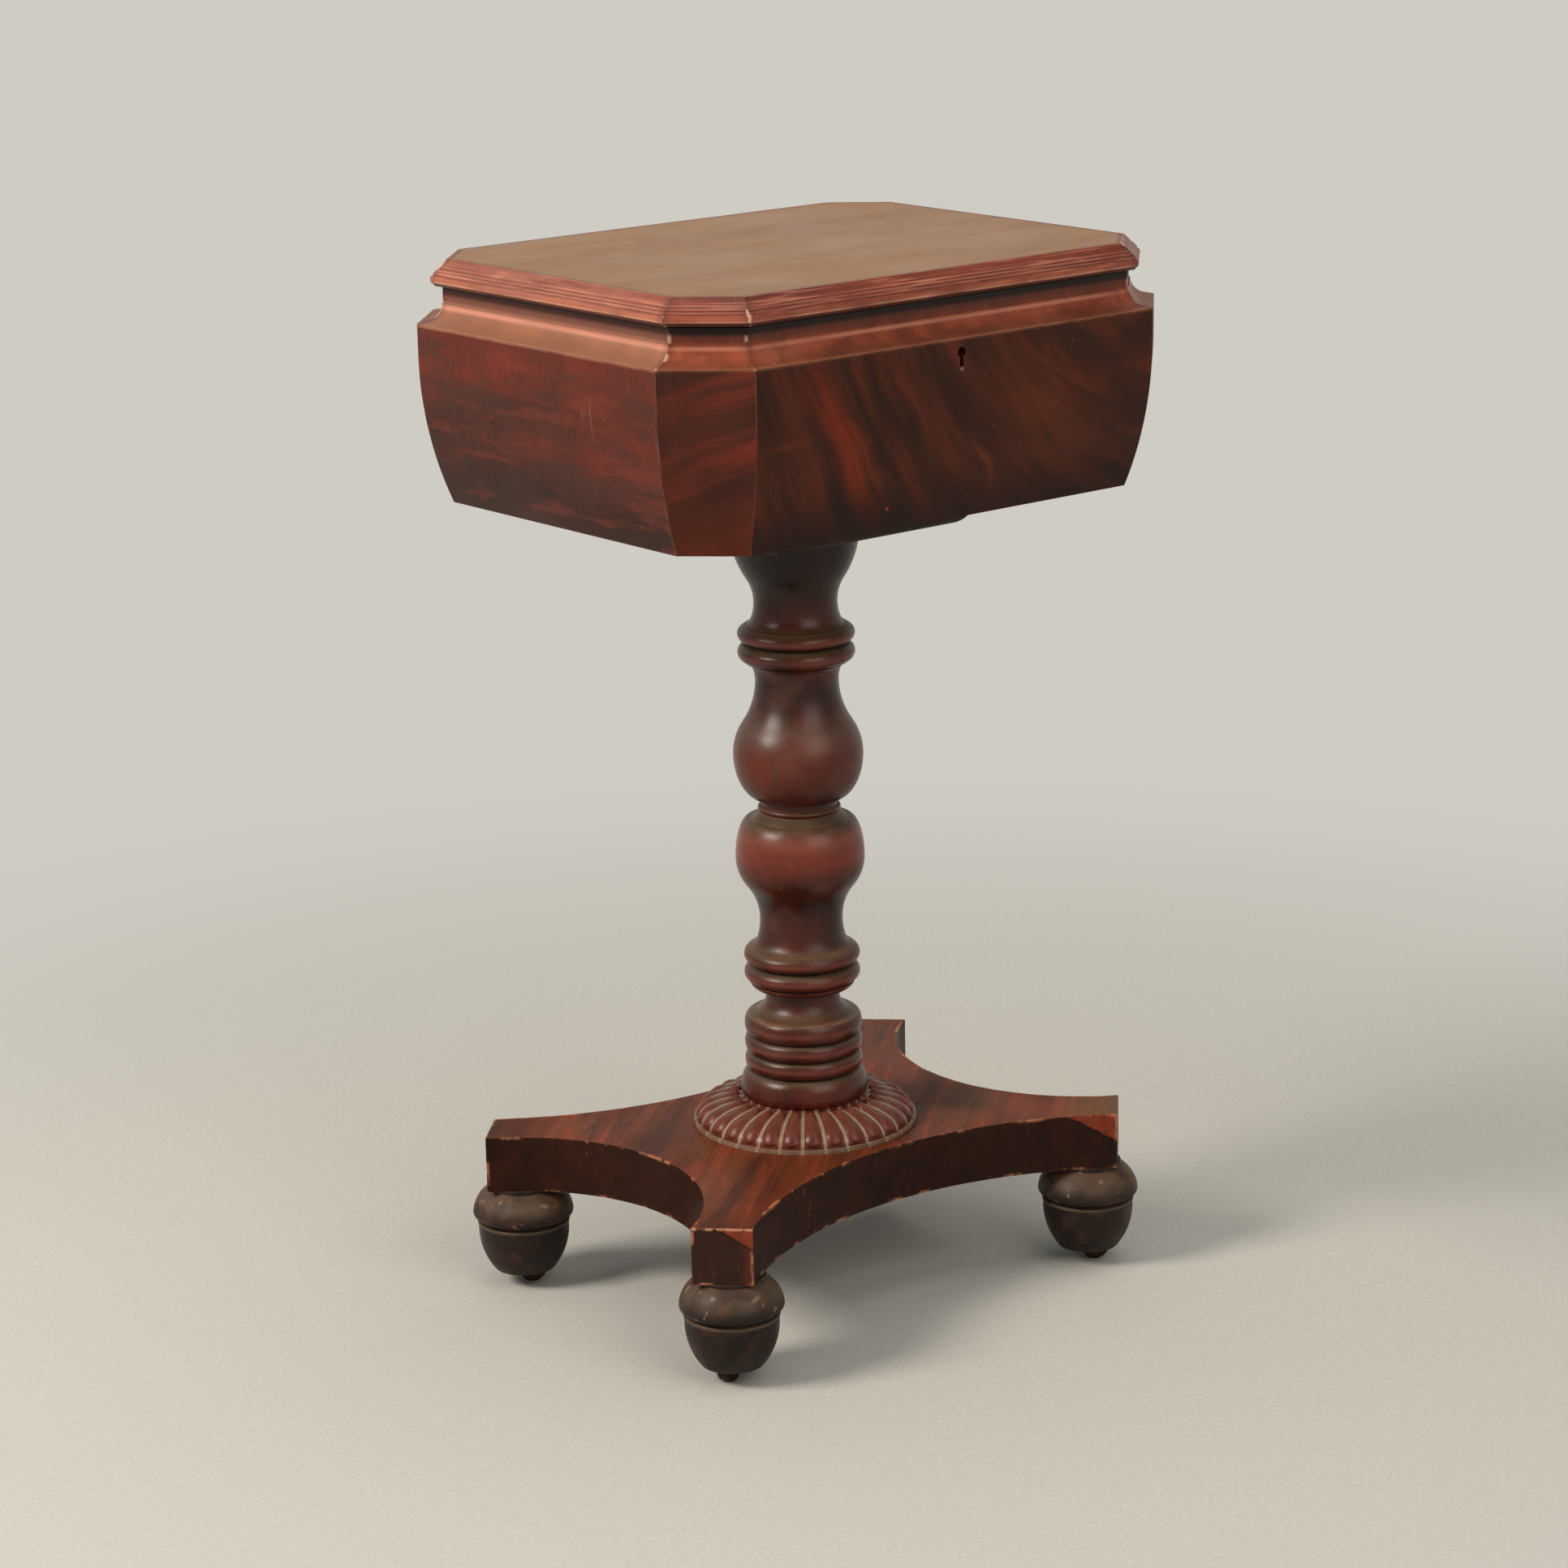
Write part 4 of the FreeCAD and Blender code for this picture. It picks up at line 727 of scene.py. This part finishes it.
def platform_timber():
    """A warm worn top over sides darkened nearly to black by painted shade, with painted light on two corners that
    the chest's shadow misses.
    """
    base = Finish("platform", IOR=polish_ior, Specular_IOR_Level=0.10)
    base.timber((paint(66, 28, 14), paint(94, 45, 24), paint(118, 63, 35)), aslant, fibre=0.3, pore=0.4)
    base.clouds(13.0, paint(118, 48, 25), strength=0.45, low=0.48, high=0.66)
    base.clouds(8.0, paint(56, 25, 15), strength=0.55, low=0.47, high=0.64)
    sheet = base.sheet
    along = sheet.stretch(base.place, (1, 1, 1), turn=aslant)
    streaks = sheet.noise(sheet.stretch(along, (7, 60, 60)), 1.0, 4.0, 0.5, 0.6)
    base.tint(sheet.spread(streaks, 0.50, 0.68), paint(140, 60, 33), 0.5)
    base.tint(sheet.spread(streaks, 0.46, 0.34), paint(52, 26, 17), 0.6)
    upright = base.facing_up(0.6, 0.2)
    # Painted shade: the upright sides are darkened nearly to black.
    base.tint(upright, paint(24, 13, 9), 0.87)
    depth = sheet.plus(platform_high.z, sheet.times(base.z, -1.0))
    aside = sheet.plus(base.x, sheet.times(base.y, -1.0), -near_cant_start)
    near_face = sheet.spread(sheet.plus(base.x, base.y), near_cant_face + 0.0018, near_cant_face)
    near_end = sheet.times(near_face, upright)
    near_corner = sheet.spread(aside, 0.022, 0.036)
    # Painted light on the near end, reddest towards one corner.
    base.tint(near_end, paint(66, 46, 38), 0.3)
    base.tint(sheet.times(near_end, near_corner), paint(104, 42, 30), 0.5)
    base.lit_patch(sheet.plus(depth, sheet.times(aside, -near_light_slope)), near_end)
    nicks = sheet.spread(sheet.noise(base.place, 90.0, 2.0), 0.44, 0.52)
    top_edge = sheet.near(depth, 0.0, 0.0026)
    base.tint(sheet.times(near_end, nicks, top_edge), paint(214, 162, 130), 0.8)
    right_end = sheet.times(sheet.spread(base.x, right_end_start - 0.004, right_end_start),
                            sheet.spread(base.y, *right_end_fade))
    across_slope, back_slope = right_light_slopes
    across_fall = sheet.times(sheet.plus(base.x, -right_end_start), across_slope)
    back_fall = sheet.plus(sheet.times(sheet.plus(base.y, -right_end_front), back_slope), right_light_depth)
    slope = sheet.maths("MINIMUM", across_fall, back_fall)
    base.lit_patch(sheet.plus(depth, sheet.times(slope, -1.0)), sheet.times(right_end, upright))
    # The top is lighter towards the right front corner.
    lighter_corner = sheet.times(sheet.spread(base.x, 0.120, 0.175), sheet.spread(base.y, -0.080, -0.130))
    base.tint(sheet.times(lighter_corner, base.facing_up(0.7, 0.9)), paint(118, 88, 58), 0.42)
    base.gloss(0.36, 0.50)
    base.rubbed(paint(150, 92, 66), amount=0.4, reach=0.0014)
    base.rubbed(paint(206, 138, 100), amount=0.9, reach=0.0042, sparse=0.75)
    base.dirty_and_shaded(shade_tone, amount=0.7, depth=0.012)
    base.knocked(paint(160, 108, 78), amount=0.6)
    return base.done()


def turned_feet():
    """Feet with little polish left: grey dust on the saucers, dirt and painted shade in the groove, black cups, and
    painted shade under the platform.
    """
    foot = Finish("turned feet", IOR=polish_ior, Specular_IOR_Level=0.24)
    foot.timber((paint(20, 12, 8), paint(30, 18, 12), paint(42, 25, 17)), along_z, fibre=0.25, pore=0.3)
    foot.gloss(0.34, 0.56, scale=60.0)
    foot.dirty_and_shaded(paint(14, 10, 8), amount=0.9, depth=0.008)
    foot.dusty(paint(98, 76, 58), amount=0.6, start=0.08)
    foot.clouds(75.0, paint(84, 48, 36), strength=0.3, low=0.5, high=0.68)
    foot.clouds(48.0, paint(30, 21, 16), strength=0.5, low=0.5, high=0.66)
    # Painted shade on the top of each saucer, under the platform.
    foot.level(platform_low.z, half=0.0040, tone=paint(20, 13, 10), strength=0.8)
    foot.level(bead_level, half=0.0016, tone=paint(88, 72, 54), strength=0.75)
    foot.rubbed(paint(120, 92, 72), amount=0.5, reach=0.0011)
    spots = foot.sheet.spread(foot.sheet.noise(foot.place, 110.0, 2.0), 0.64, 0.70)
    saucer = foot.sheet.spread(foot.z, bead_level + 0.001, bead_level + 0.005)
    foot.tint(foot.sheet.times(spots, saucer), paint(150, 126, 102), 0.35)
    foot.knocked(paint(120, 92, 72), amount=0.5)
    return foot.done()


# Metal, glass and paper

def aged_brass(name, tones, rough):
    """Brass dulled by handling, dark in its corners and brighter where it is touched."""
    metal = Finish(name, Metallic=1.0)
    cloud = metal.sheet.noise(metal.place, 120.0, 4.0, 0.3)
    metal.colour = metal.sheet.ramp(cloud, [(0.3, tones[0]), (0.7, tones[1])])
    metal.rough = metal.sheet.spread(cloud, 0.3, 0.7, rough[0], rough[1])
    metal.rubbed(tones[2], amount=0.9, reach=0.0006)
    metal.dirty_and_shaded(paint(30, 22, 12), amount=0.8, depth=0.003)
    metal.raised(metal.sheet.noise(metal.sheet.stretch(metal.place, (60, 900, 900)), 1.0, 2.0), 1.0)
    return metal.done(bump=0.2, depth=0.0002)


def blown_glass():
    """Clear glass with seeds and slow waves in it."""
    glass = Finish("blown glass", IOR=1.5, Transmission_Weight=1.0)
    seeds = glass.sheet.put("ShaderNodeTexVoronoi", {"Vector": glass.place, "Scale": 260.0}).outputs["Distance"]
    waves = glass.sheet.noise(glass.place, 30.0, 2.0)
    glass.colour = glass.sheet.ramp(waves, [(0.3, paint(232, 240, 238)), (0.7, paint(246, 250, 249))])
    glass.rough = 0.02
    glass.raised(glass.sheet.spread(seeds, 0.10, 0.02), 0.4)
    glass.raised(waves, 1.0)
    material = glass.done(bump=0.15)
    sheet = glass.sheet
    shadow = sheet.put("ShaderNodeLightPath").outputs["Is Shadow Ray"]
    clear = sheet.put("ShaderNodeBsdfTransparent", {"Color": paint(240, 244, 243)}).outputs[0]
    both = sheet.put("ShaderNodeMixShader", {0: shadow, 1: glass.shader.outputs[0], 2: clear}).outputs[0]
    sheet.join(both, material.node_tree.nodes["Material Output"].inputs["Surface"])
    return material


def lining_paper():
    """Deep red glazed paper, foxed and rubbed."""
    paper = Finish("lining paper", IOR=1.45)
    mottle = paper.sheet.noise(paper.place, 6.0, 4.0)
    paper.colour = paper.sheet.ramp(mottle, [(0.3, paint(92, 30, 34)), (0.7, paint(122, 44, 46))])
    spots = paper.sheet.spread(paper.sheet.noise(paper.place, 70.0, 4.0, 0.0, 0.7), 0.60, 0.74)
    paper.tint(spots, paint(60, 26, 22), 0.5)
    fibre = paper.sheet.noise(paper.place, 900.0, 2.0)
    paper.rough = paper.sheet.spread(fibre, 0.3, 0.7, 0.62, 0.8)
    paper.raised(fibre, 1.0)
    return paper.done(bump=0.25, depth=0.0002)


# Dressing

def finishes():
    """The nodes that each finish goes on."""
    brass = aged_brass("aged brass", (paint(140, 108, 58), paint(170, 134, 74), paint(206, 172, 106)), (0.30, 0.45))
    dark_brass = aged_brass("castor brass", (paint(44, 34, 24), paint(66, 50, 34), paint(110, 86, 56)), (0.45, 0.6))
    iron = aged_brass("screw iron", (paint(60, 56, 52), paint(84, 78, 72), paint(120, 114, 106)), (0.45, 0.6))
    feet = [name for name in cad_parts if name.startswith("foot_")]
    castors = [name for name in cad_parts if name.startswith("castor_")]
    return [
        (top_veneer(), ["lid_panel"]),
        (edge_moulding("edge moulding along x", along_x, 0.0), ["lid_moulding_front", "lid_moulding_back"]),
        (edge_moulding("edge moulding along y", along_y, 0.0), ["lid_moulding_right", "lid_corner_mouldings"]),
        (edge_moulding("edge moulding with painted light", along_y, 1.0), ["lid_moulding_left"]),
        (neck_moulding("cavetto moulding", 0.0), ["neck_moulding_front", "neck_moulding_back",
                                                  "neck_moulding_right", "neck_corner_mouldings"]),
        (neck_moulding("cavetto moulding with painted light", 1.0), ["neck_moulding_left"]),
        (front_veneer(), ["wall_front", "wall_back"]),
        (side_veneer(), ["wall_left", "wall_right"]),
        (cant_veneer(), ["corner_staves"]),
        (boards(), ["bearer_block", "bottom_board"]),
        (turned_column(), ["column", "caddy_knob_left", "caddy_knob_right"]),
        (carved_collar(), ["gadrooned_collar"]),
        (platform_timber(), ["platform"]),
        (turned_feet(), feet),
        (inner_timber("inner boards along x", along_x), ["cross_partition", "bowl_board", "caddy_case_left",
                                                         "caddy_case_right", "caddy_lid_left", "caddy_lid_right"]),
        (inner_timber("inner boards along y", along_y), ["caddy_divider", "bowl_board_ledges"]),
        (brass, ["lid_hinge_leaves", "box_hinge_leaves", "hinge_pins", "lid_link_plate", "lock_case", "lock_bolt",
                 "lid_screws", "box_screws", "caddy_hinge_pins"]),
        (dark_brass, castors),
        (iron, ["bearer_screws"]),
        (lining_paper(), ["lid_lining"]),
        (blown_glass(), ["mixing_bowl_left", "mixing_bowl_right"]),
    ]


def dress():
    """Puts each finish on its nodes and gives the nodes that are left bare."""
    done = set()
    for material, names in finishes():
        for name in names:
            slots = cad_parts[name].data.materials
            slots.clear()
            slots.append(material)
            done.add(name)
    return sorted(set(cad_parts) - done)


# Studio

backdrop = paint(207, 204, 196)


def set_camera():
    """Stands the camera where the photographer's was."""
    azimuth, pitch, roll = (math.radians(a) for a in (camera_azimuth, camera_pitch, camera_roll))
    back = Vector((math.sin(azimuth), -math.cos(azimuth), 0))
    side = Vector((math.cos(azimuth), math.sin(azimuth), 0))
    ahead = -back * math.cos(pitch) - Vector((0, 0, math.sin(pitch)))
    right = ahead.cross(Vector((0, 0, 1))).normalized()
    up = right.cross(ahead)
    rolled_right = right * math.cos(roll) + up * math.sin(roll)
    rolled_up = up * math.cos(roll) - right * math.sin(roll)
    data = bpy.data.cameras.new("photographer")
    data.lens = camera_lens_mm
    data.sensor_width = sensor_mm
    camera = bpy.data.objects.new("photographer", data)
    bpy.context.collection.objects.link(camera)
    turn = Matrix((rolled_right, rolled_up, -ahead)).transposed().to_4x4()
    stand = back * camera_distance + side * camera_sideways + Vector((0, 0, camera_height))
    camera.matrix_world = Matrix.Translation(stand) @ turn
    bpy.context.scene.camera = camera


def lamp(name, azimuth, elevation, distance, size, power, tone):
    """A square softbox on a stand, aimed at the middle of the object."""
    data = bpy.data.lights.new(name, "AREA")
    data.size = size
    data.energy = power
    data.color = tone[:3]
    a, e = math.radians(azimuth), math.radians(elevation)
    aim = Vector((0, 0, (cad_low.z + cad_high.z) / 2))
    back = Vector((math.sin(a) * math.cos(e), -math.cos(a) * math.cos(e), math.sin(e)))
    holder = bpy.data.objects.new(name, data)
    bpy.context.collection.objects.link(holder)
    holder.location = aim + back * distance
    holder.rotation_euler = (-back).to_track_quat("-Z", "Y").to_euler()


def seen_rays(sheet):
    """1 for the rays that show the backdrop: from the camera, off polish and through glass."""
    path = sheet.put("ShaderNodeLightPath").outputs
    shown = sheet.maths("MAXIMUM", path["Is Glossy Ray"], path["Is Transmission Ray"])
    return sheet.maths("MAXIMUM", path["Is Camera Ray"], shown)


def light_studio():
    """A soft key from the left, a weak wide fill from the front, light off the ceiling and a pale, dimmer room."""
    warm, pale = paint(255, 247, 237), paint(255, 252, 248)
    lamp("left softbox", azimuth=-104, elevation=36, distance=3.4, size=1.1, power=118, tone=warm)
    lamp("front fill", azimuth=-2, elevation=32, distance=4.2, size=2.8, power=70, tone=warm)
    lamp("ceiling bounce", azimuth=60, elevation=84, distance=3.6, size=3.0, power=46, tone=pale)
    world = bpy.data.worlds.new("studio")
    bpy.context.scene.world = world
    world.use_nodes = True
    sheet = Sheet(world.node_tree)
    height = sheet.parts(sheet.put("ShaderNodeTexCoord").outputs["Generated"])[2]
    room = sheet.ramp(sheet.spread(height, 0.25, 0.75), [(0.0, backdrop), (1.0, paint(120, 118, 114))])
    ambient_share = 0.45
    ambient = tuple(ambient_share * level for level in paint(226, 224, 220)[:3]) + (1,)
    colour = sheet.blend(seen_rays(sheet), ambient, room)
    sheet.join(colour, world.node_tree.nodes["Background"].inputs["Color"])


def lay_floor():
    """A wide pale floor of fine felt that runs into the backdrop's colour with distance."""
    reach = 14.0
    felt_end, backdrop_start = 0.4, 1.5
    mesh = bpy.data.meshes.new("studio floor")
    corners = [(-reach, -reach), (reach, -reach), (reach, reach), (-reach, reach)]
    mesh.from_pydata([(x, y, floor_level) for x, y in corners], [], [(0, 1, 2, 3)])
    floor = bpy.data.objects.new("studio_floor", mesh)
    bpy.context.collection.objects.link(floor)
    felt = Finish("pale felt")
    felt.colour = felt.sheet.ramp(felt.sheet.noise(felt.place, 300.0, 3.0),
                                  [(0.3, paint(174, 172, 165)), (0.7, paint(184, 182, 175))])
    felt.rough = 0.85
    felt.raised(felt.sheet.noise(felt.place, 700.0, 2.0), 1.0)
    material = felt.done(bump=0.1)
    sheet = felt.sheet
    away = sheet.put("ShaderNodeVectorMath", {0: felt.place}, operation="LENGTH").outputs["Value"]
    far = sheet.times(sheet.spread(away, felt_end, backdrop_start), seen_rays(sheet))
    glow = sheet.put("ShaderNodeEmission", {"Color": backdrop, "Strength": 1.0}).outputs[0]
    both = sheet.put("ShaderNodeMixShader", {0: far, 1: felt.shader.outputs[0], 2: glow}).outputs[0]
    sheet.join(both, material.node_tree.nodes["Material Output"].inputs["Surface"])
    mesh.materials.append(material)


left_bare = dress()
set_camera()
light_studio()
lay_floor()
if left_bare:
    print("nodes without a finish:", left_bare)
bpy.context.scene.view_settings.view_transform = "Standard"
